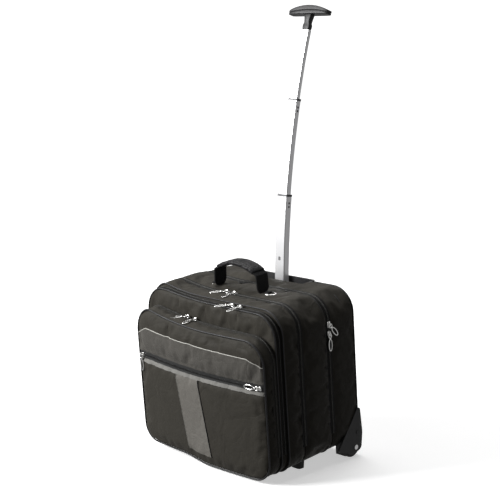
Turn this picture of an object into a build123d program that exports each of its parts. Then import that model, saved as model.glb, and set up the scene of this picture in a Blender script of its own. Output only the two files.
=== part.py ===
"""Rolling laptop case: a soft wheeled case with a curved telescoping tow handle.

The case leans a little forward, because its wheels lift it more than its feet do.
X runs across the case, +Y to the back and +Z up. Sizes are in millimetres.
The case has axes of its own: across, depth (from the pocket's edge back) and height.
"""

import os
from math import atan2, cos, degrees, radians, sin

from build123d import *

os.makedirs("parts", exist_ok=True)

# Overall sizes of the case
case_width = 438.0
case_height = 386.0
top_radius = 56.0
bottom_radius = 45.0
lean_angle = 5.0
wall = 3.0
seam_gap = 0.4

# Depth of each section, front to back
pocket_depth = 40.0
organizer_depth = 20.0
laptop_depth = 56.0
main_depth = 97.0
rear_depth = 99.0

# Front pocket and organizer
pocket_width = 428.0
pocket_height = 330.0
pocket_bulge = 12.0
organizer_width = 430.0
organizer_height = 380.0

# Trim on the front pocket
trim_thickness = 1.0
slash_drop = 105.0
band_gap = 10.0
band_drop = 37.0
band_shoulder_drop = 21.0
band_shoulder_width = 42.0
stripe_centre = -12.0
stripe_width = 76.0
stripe_slant = 16.0
stripe_bottom = 26.0
stripe_gap = 9.0

# Stiff boards
board_thickness = 2.6
base_width = 364.0
back_board_inset = 41.0
base_inset = 6.0
base_round = 6.0

# Wheels and their housings
wheel_radius = 28.0
wheel_width = 18.0
tyre_thickness = 6.0
wheel_inset = 25.3
wheel_height = -5.0
wheel_centre = 205.0
axle_radius = 3.0
axle_clearance = 0.05
axle_head_radius = 6.0
axle_head = 2.6
well_clearance = 3.0
well_wall = 3.4
housing_plate = 4.0
housing_gap = 0.4
plate_toe = 10.0
plate_rise = 92.0
plate_shoulder_rise = 88.0
plate_hip_rise = 26.0
plate_heel_drop = 14.0
plate_keel_drop = 19.0
plate_chin_drop = 12.0
rivet_inset = 16.0
rivet_rise = 30.0
rivet_radius = 2.6
rivet_head_radius = 4.7
rivet_head = 1.2

# Feet
foot_inset = 24.0
foot_centre = 168.0
foot_length = 30.0
foot_width = 24.0
foot_height = 40.0

# Tow handle: three stages that slide out of a channel along one curve
pole_radius = 2200.0
pole_inset = 17.0
stage_gap = 0.5
channel_wall = 1.6
channel_rise = 26.0
channel_gap = 2.5
lower_width = 32.0
lower_thick = 19.2
tube_wall = 1.5
lower_rise = 206.0
middle_rise = 440.0
upper_rise = 610.0
tube_overlap = 60.0
channel_overlap = 90.0
collar_length = 5.0
collar_flare = 1.6
stud_radius = 2.6
stud_height = 0.3
stud_drop = 16.0
stud_pitch = 9.0
rest_gap = 1.0

# Grip at the top of the tow handle
grip_width = 128.0
grip_depth = 27.0
grip_height = 60.0
grip_arch = 13.0
core_thick = 10.0
core_arch = 6.0
core_sag = 0.5
pad_thick = 12.0
grip_round = 3.5
neck_width = 16.0
neck_thick = 13.0
button_width = 26.0
button_depth = 11.0
button_proud = 1.6
button_height = 9.0
button_travel = 3.0
button_gap = 0.3
rod_width = 5.0
rod_thick = 3.0
rod_gap = 0.5
rod_length = 190.0

# Cup that the tow handle leaves
cup_width = 196.0
cup_depth = 46.0
cup_inset = 4.0
cup_sink = 20.0
cup_wall = 2.0
cup_rim = 3.0
cup_rim_height = 3.2
cup_corner = 8.0

# Grab handle, rings and webbing tabs
handle_inset = 39.0
handle_span = 146.0
handle_rise = 69.0
handle_leg_rise = 47.0
webbing_thick = 3.0
webbing_width = 38.0
webbing_clear = 0.6
handle_pad_thick = 11.0
handle_pad_width = 42.0
handle_pad_span = 108.0
patch_length = 56.0
patch_width = 16.0
patch_thick = 0.8
ring_centre = 88.0
ring_length = 24.0
ring_width = 26.0
ring_wire = 3.0
ring_lift = 5.0
tab_length = 10.0
tab_width = 15.0
tab_height = 9.0
tab_bore = 2.4

# Zip sliders and pulls
slider_length = 14.5
slider_width = 10.5
slider_body = 3.2
slider_lift = 0.3
slant = 40.0
bridge_length = 13.0
bridge_width = 2.4
bridge_post = 1.6
bridge_bar = 1.4
bridge_gap = 4.0
pull_wire = 2.6
pull_length = 43.0
pull_width = 13.0
pull_neck = 14.0
slider_pitch = 26.0
zip_setback = 7.4
pull_turn = 45.0
pull_droop = 3.0
slash_end = 14.0
laptop_zip_centre = 2.0
organizer_zip_centre = 84.0
pocket_zip_centre = -50.0
side_zip_drop = 64.0
side_slider_pitch = 23.0

# Depths of the seams between the sections
organizer_front = pocket_depth
laptop_front = organizer_front + organizer_depth
main_front = laptop_front + laptop_depth
rear_front = main_front + main_depth
case_depth = rear_front + rear_depth

# Places that follow the seams and the tops of the sections
foot_depth = main_front + foot_inset
handle_depth = main_front + handle_inset
handle_pivot = webbing_width / 2 + webbing_clear
back_board_depth = case_depth - back_board_inset
wheel_depth = case_depth - wheel_inset
cup_back = case_depth - cup_inset
cup_front = cup_back - cup_depth
channel_length = case_height - cup_sink - cup_wall - channel_rise
slash_height = pocket_height - slash_drop
band_bottom = slash_height + band_gap
band_top = pocket_height - band_drop
band_shoulder = band_top - band_shoulder_drop
stripe_top = slash_height - stripe_gap

# The stages of the tow handle nest, each with the same gap to the next
stage_step = 2 * (tube_wall + stage_gap)
channel_step = 2 * (channel_wall + stage_gap)
channel_width = lower_width + channel_step
channel_thick = lower_thick + channel_step
middle_width = lower_width - stage_step
middle_thick = lower_thick - stage_step
upper_width = middle_width - stage_step
upper_thick = middle_thick - stage_step

# Where the case stands: the origin is under the middle of everything, on the floor
lean = radians(lean_angle)
grip_angle = upper_rise / pole_radius
pole_line = (case_depth - pole_inset) * cos(lean) - case_height * sin(lean)
grip_back = (
    pole_line
    + pole_radius * (1 - cos(grip_angle))
    + (grip_depth / 2 - grip_round) * cos(grip_angle)
    + (grip_height - grip_round) * sin(grip_angle)
    + grip_round
)
front_most = -pocket_bulge * cos(lean) - pocket_height * sin(lean)
front_y = -(front_most + grip_back) / 2
front_z = wheel_radius - wheel_depth * sin(lean) - wheel_height * cos(lean)

stance = Plane(origin=(0, front_y, front_z), x_dir=(1, 0, 0), z_dir=(0, -sin(lean), cos(lean)))
case_up = stance.z_dir
case_rear = stance.y_dir


def on_case(across, depth, height):
    """Point of the case, from its place across, its depth and its height."""
    return stance.from_local_coords(Vector(across, depth, height))


def facing_front(depth):
    """Upright plane across the case, with its normal to the front."""
    return Plane(origin=on_case(0, depth, 0), x_dir=(1, 0, 0), z_dir=-case_rear)


def level(height):
    """Plane parallel to the case's bottom, with its normal up."""
    return Plane(origin=on_case(0, 0, height), x_dir=(1, 0, 0), z_dir=case_up)


def facing_side(across):
    """Upright plane along the case, with its normal to the right."""
    return Plane(origin=on_case(across, 0, 0), x_dir=case_rear, z_dir=(1, 0, 0))


pole_foot = on_case(0, case_depth - pole_inset, case_height)
pole_centre = Vector(0, pole_foot.Y + pole_radius, pole_foot.Z)
pole_axis = Axis(pole_centre, (-1, 0, 0))


def across_pole(rise):
    """Plane square to the tow handle's curve, at a rise along it from the case's top."""
    angle = rise / pole_radius
    centre = Vector(
        0,
        pole_foot.Y + pole_radius * (1 - cos(angle)),
        pole_foot.Z + pole_radius * sin(angle),
    )
    return Plane(origin=centre, x_dir=(1, 0, 0), z_dir=(0, sin(angle), cos(angle)))


def pole_arc(length):
    """Angle in degrees that a length takes up on the tow handle's curve."""
    return degrees(length / pole_radius)


def save(piece, name):
    """Labels a finished piece and writes it as its own file."""
    piece.part.label = name
    export_step(piece.part, f"parts/{name}.step")


# ---- Sewn sections ----------------------------------------------------------


def section_outline(width, height, inset, mode=Mode.ADD):
    """Rounded front outline of a section, drawn in the open sketch."""
    side = width / 2 - inset
    low = bottom_radius - inset
    high = top_radius - inset
    with BuildLine() as loop:
        FilletPolyline(
            (-side, inset),
            (side, inset),
            (side, height - inset),
            (-side, height - inset),
            radius=(low, low, high, high),
            close=True,
        )
    make_face(loop.edges(), mode=mode)


def bulged_front(inset):
    """Region behind the pocket's bulged front, seen from above, in the open sketch."""
    half = pocket_width / 2
    radius = (half**2 + pocket_bulge**2) / (2 * pocket_bulge)
    with Locations((0, radius - pocket_bulge)):
        Circle(radius - inset)


for name, front, back, width, height in (
    ("organizer", organizer_front, laptop_front, organizer_width, organizer_height),
    ("laptop", laptop_front, main_front, case_width, case_height),
):
    with BuildPart() as panel:
        with BuildSketch(facing_front(front + wall)):
            section_outline(width, height, 0)
        extrude(amount=wall)
    save(panel, f"{name}_panel")

    with BuildPart() as gusset:
        with BuildSketch(facing_front(back - seam_gap)):
            section_outline(width, height, 0)
            section_outline(width, height, wall, Mode.SUBTRACT)
        extrude(amount=back - seam_gap - front - wall)
    save(gusset, f"{name}_gusset")

with BuildPart() as main_divider:
    with BuildSketch(facing_front(main_front + wall)):
        section_outline(case_width, case_height, 0)
    extrude(amount=wall)
save(main_divider, "main_divider")

with BuildPart() as main_gusset:
    with BuildSketch(facing_front(rear_front - seam_gap)):
        section_outline(case_width, case_height, 0)
        section_outline(case_width, case_height, wall, Mode.SUBTRACT)
    extrude(amount=main_depth - seam_gap - wall)
save(main_gusset, "main_gusset")

with BuildPart() as pocket_panel:
    with BuildSketch(facing_front(pocket_depth)):
        section_outline(pocket_width, pocket_height, 0)
    extrude(amount=pocket_depth + pocket_bulge)
    with BuildSketch(level(0)):
        bulged_front(0)
    extrude(amount=pocket_height, mode=Mode.INTERSECT)
    with BuildSketch(level(0)):
        bulged_front(wall)
    extrude(amount=pocket_height, mode=Mode.SUBTRACT)
save(pocket_panel, "pocket_panel")

with BuildPart() as pocket_gusset:
    with BuildSketch(facing_front(pocket_depth - seam_gap)):
        section_outline(pocket_width, pocket_height, 0)
        section_outline(pocket_width, pocket_height, wall, Mode.SUBTRACT)
    extrude(amount=pocket_depth + pocket_bulge)
    with BuildSketch(level(0)):
        bulged_front(wall)
    extrude(amount=pocket_height, mode=Mode.INTERSECT)
save(pocket_gusset, "pocket_gusset")

with BuildPart() as accent_trim:
    with BuildSketch(facing_front(pocket_depth)):
        half = pocket_width / 2
        shoulder = half - band_shoulder_width
        stripe_left = stripe_centre - stripe_width / 2
        with BuildLine():
            Polyline((-half, band_shoulder), (-half, band_bottom), (half, band_bottom), (half, band_shoulder))
            Line((half, band_shoulder), (shoulder, band_top - wall))
            ThreePointArc((shoulder, band_top - wall), (0, band_top), (-shoulder, band_top - wall))
            Line((-shoulder, band_top - wall), (-half, band_shoulder))
        make_face()
        with BuildLine():
            Polyline(
                (stripe_left - stripe_slant, stripe_top),
                (stripe_left + stripe_slant, stripe_bottom),
                (stripe_left + stripe_width + stripe_slant, stripe_bottom),
                (stripe_left + stripe_width - stripe_slant, stripe_top),
                close=True,
            )
        make_face()
    extrude(amount=pocket_depth + 2 * pocket_bulge)
    with BuildSketch(level(0)):
        bulged_front(-trim_thickness)
    extrude(amount=pocket_height, mode=Mode.INTERSECT)
    with BuildSketch(level(0)):
        bulged_front(0)
    extrude(amount=pocket_height, mode=Mode.SUBTRACT)
save(accent_trim, "accent_trim")

# ---- Rear section, with room for the wheels and the handle's cup ---------------

side_inner = wheel_centre - wheel_width / 2 - well_clearance
well_inner = side_inner - well_wall
well_top = wheel_height + wheel_radius + well_clearance + well_wall
well_front = wheel_depth - wheel_radius - well_clearance - well_wall
well_low = wheel_height - wheel_radius / 2
plate_inner = case_width / 2 + housing_gap
plate_outer = plate_inner + housing_plate


def cut_wheel_corners():
    """Clears both lower rear corners of the open part for the wheel housings."""
    corner = well_inner - housing_gap
    with BuildSketch(facing_front(case_depth + 1)) as corners:
        with Locations((corner, well_top + housing_gap)):
            Rectangle(case_width / 2, well_top * 2, align=(Align.MIN, Align.MAX))
        with Locations((-corner, well_top + housing_gap)):
            Rectangle(case_width / 2, well_top * 2, align=(Align.MAX, Align.MAX))
    extrude(corners.sketch, amount=case_depth + 1 - well_front + housing_gap, mode=Mode.SUBTRACT)


with BuildPart() as rear_panel:
    with BuildSketch(facing_front(case_depth)):
        section_outline(case_width, case_height, 0)
    extrude(amount=wall)
    cut_wheel_corners()
save(rear_panel, "rear_panel")

with BuildPart() as rear_gusset:
    with BuildSketch(facing_front(case_depth - wall)):
        section_outline(case_width, case_height, 0)
        section_outline(case_width, case_height, wall, Mode.SUBTRACT)
    extrude(amount=rear_depth - wall)
    cut_wheel_corners()
    with BuildSketch(level(case_height + 1)):
        with Locations((0, (cup_front + cup_back) / 2)):
            Rectangle(cup_width + 2 * seam_gap, cup_back - cup_front + 2 * seam_gap)
    extrude(amount=-2 * wall, mode=Mode.SUBTRACT)
save(rear_gusset, "rear_gusset")

with BuildPart() as back_board:
    with BuildSketch(facing_front(back_board_depth + board_thickness)):
        section_outline(case_width, case_height, wall + seam_gap)
        with Locations((0, case_height)):
            Rectangle(
                cup_width + 4 * seam_gap,
                2 * (cup_sink + cup_wall + seam_gap),
                mode=Mode.SUBTRACT,
            )
        for side in (-1, 1):
            with Locations((side * case_width / 2, 0)):
                Rectangle(
                    case_width - 2 * well_inner + 2 * housing_gap,
                    2 * (well_top + housing_gap),
                    mode=Mode.SUBTRACT,
                )
    extrude(amount=board_thickness)
save(back_board, "back_board")

for name, front, back in (
    ("main_base_board", main_front + base_inset, rear_front - seam_gap),
    ("rear_base_board", rear_front + seam_gap, case_depth - wall),
):
    with BuildPart() as base_board:
        with BuildSketch(level(-seam_gap)):
            with Locations((0, (front + back) / 2)):
                Rectangle(base_width, back - front)
        extrude(amount=-board_thickness)
        fillet(base_board.edges().filter_by(Axis(origin=(0, 0, 0), direction=case_up)), radius=base_round)
    save(base_board, name)

with BuildPart() as feet:
    with BuildSketch(level(-seam_gap - board_thickness)):
        with Locations((-foot_centre, foot_depth), (foot_centre, foot_depth)):
            RectangleRounded(foot_length, foot_width, 8)
    extrude(amount=-foot_height, taper=6)
    split(bisect_by=Plane.XY, keep=Keep.TOP)
save(feet, "feet")

# ---- Wheels -----------------------------------------------------------------

for side, name in ((-1, "left"), (1, "right")):
    plate_start = facing_side(side * plate_inner)
    wheel_plane = facing_side(side * wheel_centre)
    hub_radius = wheel_radius - tyre_thickness

    with BuildPart() as housing:
        with BuildSketch(facing_side(side * well_inner)):
            with Locations(((well_front + case_depth) / 2, (well_low + well_top) / 2)):
                Rectangle(case_depth - well_front, well_top - well_low)
        extrude(amount=side * (plate_inner - well_inner))
        with BuildSketch(facing_side(side * side_inner)):
            with Locations((wheel_depth, wheel_height)):
                Circle(wheel_radius + well_clearance)
                Rectangle(
                    2 * (wheel_radius + well_clearance),
                    case_height,
                    align=(Align.CENTER, Align.MAX),
                )
        extrude(amount=side * (plate_inner - side_inner), mode=Mode.SUBTRACT)
        with BuildSketch(plate_start):
            with BuildLine():
                FilletPolyline(
                    (rear_front + plate_toe, 1),
                    (case_depth - 11, plate_rise),
                    (case_depth - 3, plate_shoulder_rise),
                    (case_depth + 2, plate_hip_rise),
                    (case_depth - 4, -plate_heel_drop),
                    (wheel_depth + 4, -plate_keel_drop),
                    (well_front + 4, -plate_chin_drop),
                    radius=(6, 4, 8, 30, 12, 18, 20),
                    close=True,
                )
            make_face()
        extrude(amount=side * housing_plate)
        with BuildSketch(facing_side(side * (well_inner - 1))):
            with Locations((wheel_depth, wheel_height)):
                Circle(axle_radius)
        extrude(amount=side * (plate_outer - well_inner + 2), mode=Mode.SUBTRACT)
        with BuildSketch(facing_side(side * (plate_inner - 1))):
            with Locations((case_depth - rivet_inset, rivet_rise)):
                Circle(rivet_radius)
        extrude(amount=side * (housing_plate + 2), mode=Mode.SUBTRACT)
    save(housing, f"wheel_housing_{name}")

    with BuildPart() as tyre:
        with BuildSketch(wheel_plane):
            with Locations((wheel_depth, wheel_height)):
                Circle(wheel_radius)
                Circle(hub_radius, mode=Mode.SUBTRACT)
        extrude(amount=wheel_width / 2, both=True)
        fillet(tyre.edges().filter_by(GeomType.CIRCLE).sort_by(SortBy.RADIUS)[-2:], radius=4)
    save(tyre, f"{name}_tyre")

    with BuildPart() as hub:
        with BuildSketch(wheel_plane):
            with Locations((wheel_depth, wheel_height)):
                Circle(hub_radius)
                Circle(axle_radius + axle_clearance, mode=Mode.SUBTRACT)
                with PolarLocations(hub_radius * 0.62, 5):
                    Circle(hub_radius * 0.16, mode=Mode.SUBTRACT)
        extrude(amount=wheel_width / 2, both=True)
    save(hub, f"{name}_hub")

with BuildPart() as wheel_axles:
    for side in (-1, 1):
        with BuildSketch(facing_side(side * (well_inner - axle_head))):
            with Locations((wheel_depth, wheel_height)):
                Circle(axle_radius)
        extrude(amount=side * (plate_outer - well_inner + axle_head))
        with BuildSketch(facing_side(side * plate_outer)):
            with Locations((wheel_depth, wheel_height)):
                Circle(axle_head_radius)
        extrude(amount=side * axle_head)
save(wheel_axles, "wheel_axles")

with BuildPart() as housing_rivets:
    for side in (-1, 1):
        with BuildSketch(facing_side(side * plate_inner)):
            with Locations((case_depth - rivet_inset, rivet_rise)):
                Circle(rivet_radius)
        extrude(amount=side * housing_plate)
        with BuildSketch(facing_side(side * plate_outer)):
            with Locations((case_depth - rivet_inset, rivet_rise)):
                Circle(rivet_head_radius)
        extrude(amount=side * rivet_head)
save(housing_rivets, "housing_rivets")

# ---- Tow handle -------------------------------------------------------------


def curved_tube(width, thick, wall_thick, start, end):
    """Rectangular tube bent along the tow handle's curve, added to the open part."""
    with BuildSketch(across_pole(start)) as section:
        RectangleRounded(width, thick, 3)
        RectangleRounded(
            width - 2 * wall_thick, thick - 2 * wall_thick, 3 - wall_thick + 0.5, mode=Mode.SUBTRACT
        )
    revolve(section.sketch, axis=pole_axis, revolution_arc=pole_arc(end - start))


with BuildPart() as pole_channel:
    curved_tube(
        channel_width,
        channel_thick,
        channel_wall,
        -cup_sink - cup_wall - channel_length,
        -cup_sink - cup_wall - channel_gap,
    )
save(pole_channel, "pole_channel")

channel_end = across_pole(-cup_sink - cup_wall - channel_length).origin
channel_drop = stance.to_local_coords(channel_end).Z
channel_depth = stance.to_local_coords(channel_end).Y

with BuildPart() as channel_foot:
    with BuildSketch(level(wall)):
        with Locations((0, channel_depth)):
            RectangleRounded(2 * channel_width, channel_thick * 0.9, 4)
    extrude(amount=channel_drop - wall - 2 * rest_gap)
save(channel_foot, "channel_foot")

stages = (
    ("lower", lower_width, lower_thick, -channel_overlap, lower_rise),
    ("middle", middle_width, middle_thick, lower_rise - tube_overlap, middle_rise),
    ("upper", upper_width, upper_thick, middle_rise - tube_overlap, upper_rise),
)
for name, width, thick, start, end in stages:
    tube_end = end if name == "upper" else end - collar_length / 2
    with BuildPart() as stage_tube:
        curved_tube(width, thick, tube_wall, start, tube_end)
    save(stage_tube, f"{name}_tube")

for (name, width, thick, start, end), (_, inner_width, inner_thick, _, _) in zip(stages, stages[1:]):
    with BuildPart() as collar:
        with BuildSketch(across_pole(end - collar_length)):
            RectangleRounded(width + collar_flare, thick + collar_flare, 3.6)
            Rectangle(width, thick, mode=Mode.SUBTRACT)
        revolve(axis=pole_axis, revolution_arc=pole_arc(collar_length / 2))
        with BuildSketch(across_pole(end - collar_length / 2)):
            RectangleRounded(width + collar_flare, thick + collar_flare, 3.6)
            Rectangle(inner_width + 2 * rod_gap, inner_thick + 2 * rod_gap, mode=Mode.SUBTRACT)
        revolve(axis=pole_axis, revolution_arc=pole_arc(collar_length / 2))
        for drop in (stud_drop, stud_drop + stud_pitch):
            stud_place = across_pole(end - collar_length - drop)
            stud_plane = Plane(
                origin=stud_place.origin + Vector(width / 2, 0, 0),
                x_dir=stud_place.y_dir,
                z_dir=(1, 0, 0),
            )
            with BuildSketch(stud_plane):
                Circle(stud_radius)
            extrude(amount=stud_height)
    save(collar, f"{name}_collar")

grip_base = across_pole(upper_rise)
grip_face = Plane(origin=grip_base.origin, x_dir=(1, 0, 0), z_dir=-grip_base.y_dir)


def bow(top, top_drop, low, low_drop):
    """Bar across the tow handle's top whose two faces drop towards its ends, in the open sketch."""
    half = grip_width / 2
    with BuildLine() as loop:
        ThreePointArc((half, top - top_drop), (0, top), (-half, top - top_drop))
        Line((-half, top - top_drop), (-half, low - low_drop))
        ThreePointArc((-half, low - low_drop), (0, low), (half, low - low_drop))
        Line((half, low - low_drop), (half, top - top_drop))
    make_face(loop.edges())


core_top = grip_height - pad_thick
core_low = core_top - core_thick


with BuildPart() as grip_core:
    with BuildSketch(grip_face):
        bow(core_top, core_arch, core_low, core_sag)
    extrude(amount=grip_depth / 2 - 1, both=True)
    with BuildSketch(grip_base):
        RectangleRounded(neck_width, neck_thick, 4)
    extrude(amount=core_low + core_thick / 2)
    with BuildSketch(grip_base):
        Rectangle(rod_width + 2 * rod_gap, rod_thick + 2 * rod_gap)
    extrude(amount=grip_height, mode=Mode.SUBTRACT)
save(grip_core, "grip_core")

with BuildPart() as grip_pad:
    with BuildSketch(grip_face):
        bow(grip_height, grip_arch, core_top, core_arch)
    extrude(amount=grip_depth / 2, both=True)
    fillet(grip_pad.edges().group_by(Axis(origin=(0, 0, 0), direction=grip_base.z_dir))[-1], grip_round)
    with BuildSketch(grip_base):
        SlotOverall(button_width + 2 * button_gap, button_depth + 2 * button_gap)
    extrude(amount=2 * grip_height, mode=Mode.SUBTRACT)
save(grip_pad, "grip_pad")

button_low = grip_height + button_proud - button_height
with BuildPart() as release_button:
    with BuildSketch(grip_base.offset(button_low)):
        SlotOverall(button_width, button_depth)
    extrude(amount=button_height)
    fillet(release_button.faces().sort_by(Axis(origin=(0, 0, 0), direction=grip_base.z_dir))[-1].edges(), 1)
save(release_button, "release_button")

with BuildPart() as release_rod:
    with BuildSketch(grip_base.offset(button_low)):
        Rectangle(rod_width, rod_thick)
    extrude(amount=-button_low)
    with BuildSketch(across_pole(upper_rise - rod_length)):
        Rectangle(rod_width, rod_thick)
    revolve(axis=pole_axis, revolution_arc=pole_arc(rod_length))
save(release_rod, "release_rod")

# ---- Cup in the top, round the tow handle -------------------------------------

cup_middle = (cup_front + cup_back) / 2
cup_floor_top = case_height - cup_sink
pole_at_floor = stance.to_local_coords(across_pole(-cup_sink).origin).Y
with BuildPart() as trolley_cup:
    with BuildSketch(level(cup_floor_top - cup_wall)):
        with Locations((0, cup_middle)):
            RectangleRounded(cup_width, cup_depth, cup_corner)
    extrude(amount=cup_sink + cup_wall + cup_rim_height)
    with BuildSketch(level(case_height + seam_gap)):
        with Locations((0, cup_middle)):
            RectangleRounded(cup_width + 2 * cup_rim, cup_depth + 2 * cup_rim, cup_corner + cup_rim)
    extrude(amount=cup_rim_height - seam_gap)
    with BuildSketch(level(cup_floor_top)):
        with Locations((0, cup_middle)):
            RectangleRounded(cup_width - 2 * cup_wall, cup_depth - 2 * cup_wall, cup_corner - cup_wall)
    extrude(amount=cup_sink + 2 * cup_rim_height, mode=Mode.SUBTRACT)
    with BuildSketch(level(cup_floor_top - 2 * cup_wall)):
        with Locations((0, pole_at_floor)):
            Rectangle(lower_width + 4 * rod_gap, lower_thick + 4 * rod_gap)
    extrude(amount=3 * cup_wall, mode=Mode.SUBTRACT)
save(trolley_cup, "trolley_cup")

# ---- Grab handle, rings and webbing tabs --------------------------------------

handle_half = handle_span / 2
leg_top = case_height + handle_leg_rise
arch_top = case_height + handle_rise
strap_half = handle_half - webbing_thick


def handle_arch(width):
    """Band of a given width along the grab handle's arch, drawn in the open sketch."""
    with BuildLine() as arch:
        ThreePointArc((-strap_half, leg_top), (0, arch_top), (strap_half, leg_top))
    trace(arch.line, line_width=width)


with BuildPart() as handle_webbing:
    with BuildSketch(facing_front(handle_depth)):
        for side in (-1, 1):
            with BuildLine() as leg:
                Line((side * handle_half, case_height + seam_gap), (side * strap_half, leg_top + 1))
            trace(leg.line, line_width=webbing_thick)
        handle_arch(webbing_thick)
    extrude(amount=webbing_width / 2, both=True)
    with BuildSketch(facing_side(-handle_half - webbing_width)):
        with Locations((handle_depth, case_height + handle_pivot)):
            Circle(webbing_width / 2)
            Rectangle(webbing_width, case_height, align=(Align.CENTER, Align.MIN))
    extrude(amount=handle_span + 2 * webbing_width, mode=Mode.INTERSECT)
save(handle_webbing, "handle_webbing")

with BuildPart() as handle_grip:
    with BuildSketch(facing_front(handle_depth)):
        handle_arch(handle_pad_thick)
        with Locations((0, arch_top)):
            Rectangle(handle_pad_span, 3 * handle_pad_thick, mode=Mode.INTERSECT)
    extrude(amount=handle_pad_width / 2, both=True)
    with BuildSketch(facing_front(handle_depth)):
        handle_arch(webbing_thick + 2 * seam_gap)
    extrude(amount=webbing_width / 2 + seam_gap, both=True, mode=Mode.SUBTRACT)
save(handle_grip, "handle_grip")

ring_height = case_height + ring_lift
for side, name in ((-1, "left"), (1, "right")):
    with BuildPart() as ring:
        with BuildSketch(level(ring_height - ring_wire / 2)):
            with BuildLine() as loop:
                bar = Line(
                    (side * ring_centre, handle_depth - ring_width / 2),
                    (side * ring_centre, handle_depth + ring_width / 2),
                )
                ThreePointArc(
                    bar @ 1,
                    (side * (ring_centre + ring_length), handle_depth),
                    bar @ 0,
                )
            make_face()
            offset(amount=-ring_wire, mode=Mode.SUBTRACT)
        extrude(amount=ring_wire)
    save(ring, f"ring_{name}")

with BuildPart() as webbing_tabs:
    bar_middle = ring_centre + ring_wire / 2
    for side in (-1, 1):
        with BuildSketch(level(case_height)):
            with Locations((side * handle_half, handle_depth)):
                Rectangle(patch_width, patch_length)
        extrude(amount=patch_thick)
    with BuildSketch(level(case_height + patch_thick)):
        with Locations((-handle_half, handle_depth), (handle_half, handle_depth)):
            Rectangle(patch_width, webbing_width + 2 * seam_gap)
    extrude(amount=-patch_thick, mode=Mode.SUBTRACT)
    with BuildSketch(level(case_height)):
        with Locations((-bar_middle, handle_depth), (bar_middle, handle_depth)):
            Rectangle(tab_length, tab_width)
    extrude(amount=tab_height)
    with BuildSketch(facing_front(handle_depth)):
        with Locations((-bar_middle, ring_height), (bar_middle, ring_height)):
            Circle(tab_bore)
    extrude(amount=tab_width, both=True, mode=Mode.SUBTRACT)
save(webbing_tabs, "webbing_tabs")

# ---- Zip sliders and their pulls ----------------------------------------------

bulge_radius = ((pocket_width / 2) ** 2 + pocket_bulge**2) / (2 * pocket_bulge)
slash_axis_depth = bulge_radius - pocket_bulge
slash_reach = pocket_width / 2 - slash_end


def surface_plane(point, outward, pull_way):
    """Plane on a surface, with its normal outward and its x axis along the pull."""
    return Plane(origin=point, x_dir=pull_way, z_dir=outward)


def slash_plane(across, pull_way):
    """Plane on the pocket's bulged front, on the line of the slash zip."""
    turn = atan2(across, slash_axis_depth)
    outward = stance.from_local_coords(Vector(sin(turn), -cos(turn), 0)) - stance.origin
    along = stance.from_local_coords(Vector(cos(turn), sin(turn), 0)) - stance.origin
    front = slash_axis_depth - bulge_radius * cos(turn)
    point = on_case(bulge_radius * sin(turn), front, slash_height)
    way = {"down": -case_up, "inward": -along if across > 0 else along}[pull_way]
    return surface_plane(point, outward, way)


to_right = Vector(1, 0, 0)
to_back = case_rear * sin(radians(slant)) - case_up * cos(radians(slant))
turned = -case_rear * cos(radians(pull_turn)) - to_right * sin(radians(pull_turn))
upper_side = on_case(case_width / 2, rear_front, case_height - side_zip_drop)
lower_side = upper_side - case_up * side_slider_pitch
zip_line = {
    "main_upper": (surface_plane(upper_side, to_right, to_back), case_up, 0),
    "main_lower": (surface_plane(lower_side, to_right, -case_up), case_up, 0),
    "slash_left": (slash_plane(-slash_reach, "down"), to_right, 0),
    "slash_right": (slash_plane(slash_reach, "inward"), to_right, 0),
}
for zip_name, across, depth, height, droop in (
    ("laptop", laptop_zip_centre, main_front, case_height, pull_droop),
    ("organizer", organizer_zip_centre, laptop_front - zip_setback, organizer_height, pull_droop),
    ("pocket", pocket_zip_centre, pocket_depth - zip_setback, pocket_height, pull_droop),
):
    for side, side_name, pull_way in ((-1, "left", turned), (1, "right", -case_rear)):
        place = on_case(across + side * slider_pitch / 2, depth, height)
        zip_line[f"{zip_name}_{side_name}"] = (surface_plane(place, case_up, pull_way), to_right, droop)

pull_height = slider_lift + slider_body + bridge_gap / 2
for name, (plane, zip_way, droop) in zip_line.items():
    base_turn = plane.x_dir.get_signed_angle(zip_way, plane.z_dir)
    with BuildPart() as slider:
        with BuildSketch(plane.offset(slider_lift)):
            with Locations(Location((0, 0, 0), (0, 0, base_turn))):
                RectangleRounded(slider_length, slider_width, 2)
        extrude(amount=slider_body)
        with BuildSketch(plane.offset(slider_lift + slider_body)):
            Rectangle(bridge_length, bridge_width)
        extrude(amount=bridge_gap + bridge_bar)
        with BuildSketch(plane.offset(slider_lift + slider_body)):
            Rectangle(bridge_length - 2 * bridge_post, bridge_width)
        extrude(amount=bridge_gap, mode=Mode.SUBTRACT)
    save(slider, f"{name}_slider")

    pull_plane = plane.offset(pull_height).rotated((0, droop, 0))
    with BuildPart() as pull:
        with BuildSketch(pull_plane.offset(-pull_wire / 2)):
            with Locations(((pull_length - pull_wire) / 2, 0)):
                SlotOverall(pull_length, pull_width)
                SlotOverall(pull_length - 2 * pull_wire, pull_width - 2 * pull_wire, mode=Mode.SUBTRACT)
            with Locations((pull_neck, 0)):
                Rectangle(pull_wire, pull_width - pull_wire)
        extrude(amount=pull_wire)
    save(pull, f"{name}_pull")
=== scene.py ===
"""Rolling laptop case: sewn sections, zips, trim, handles and stage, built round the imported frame."""

import math

import bpy
from bpy.props import FloatProperty, FloatVectorProperty, PointerProperty
from mathutils import Matrix, Vector


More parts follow.
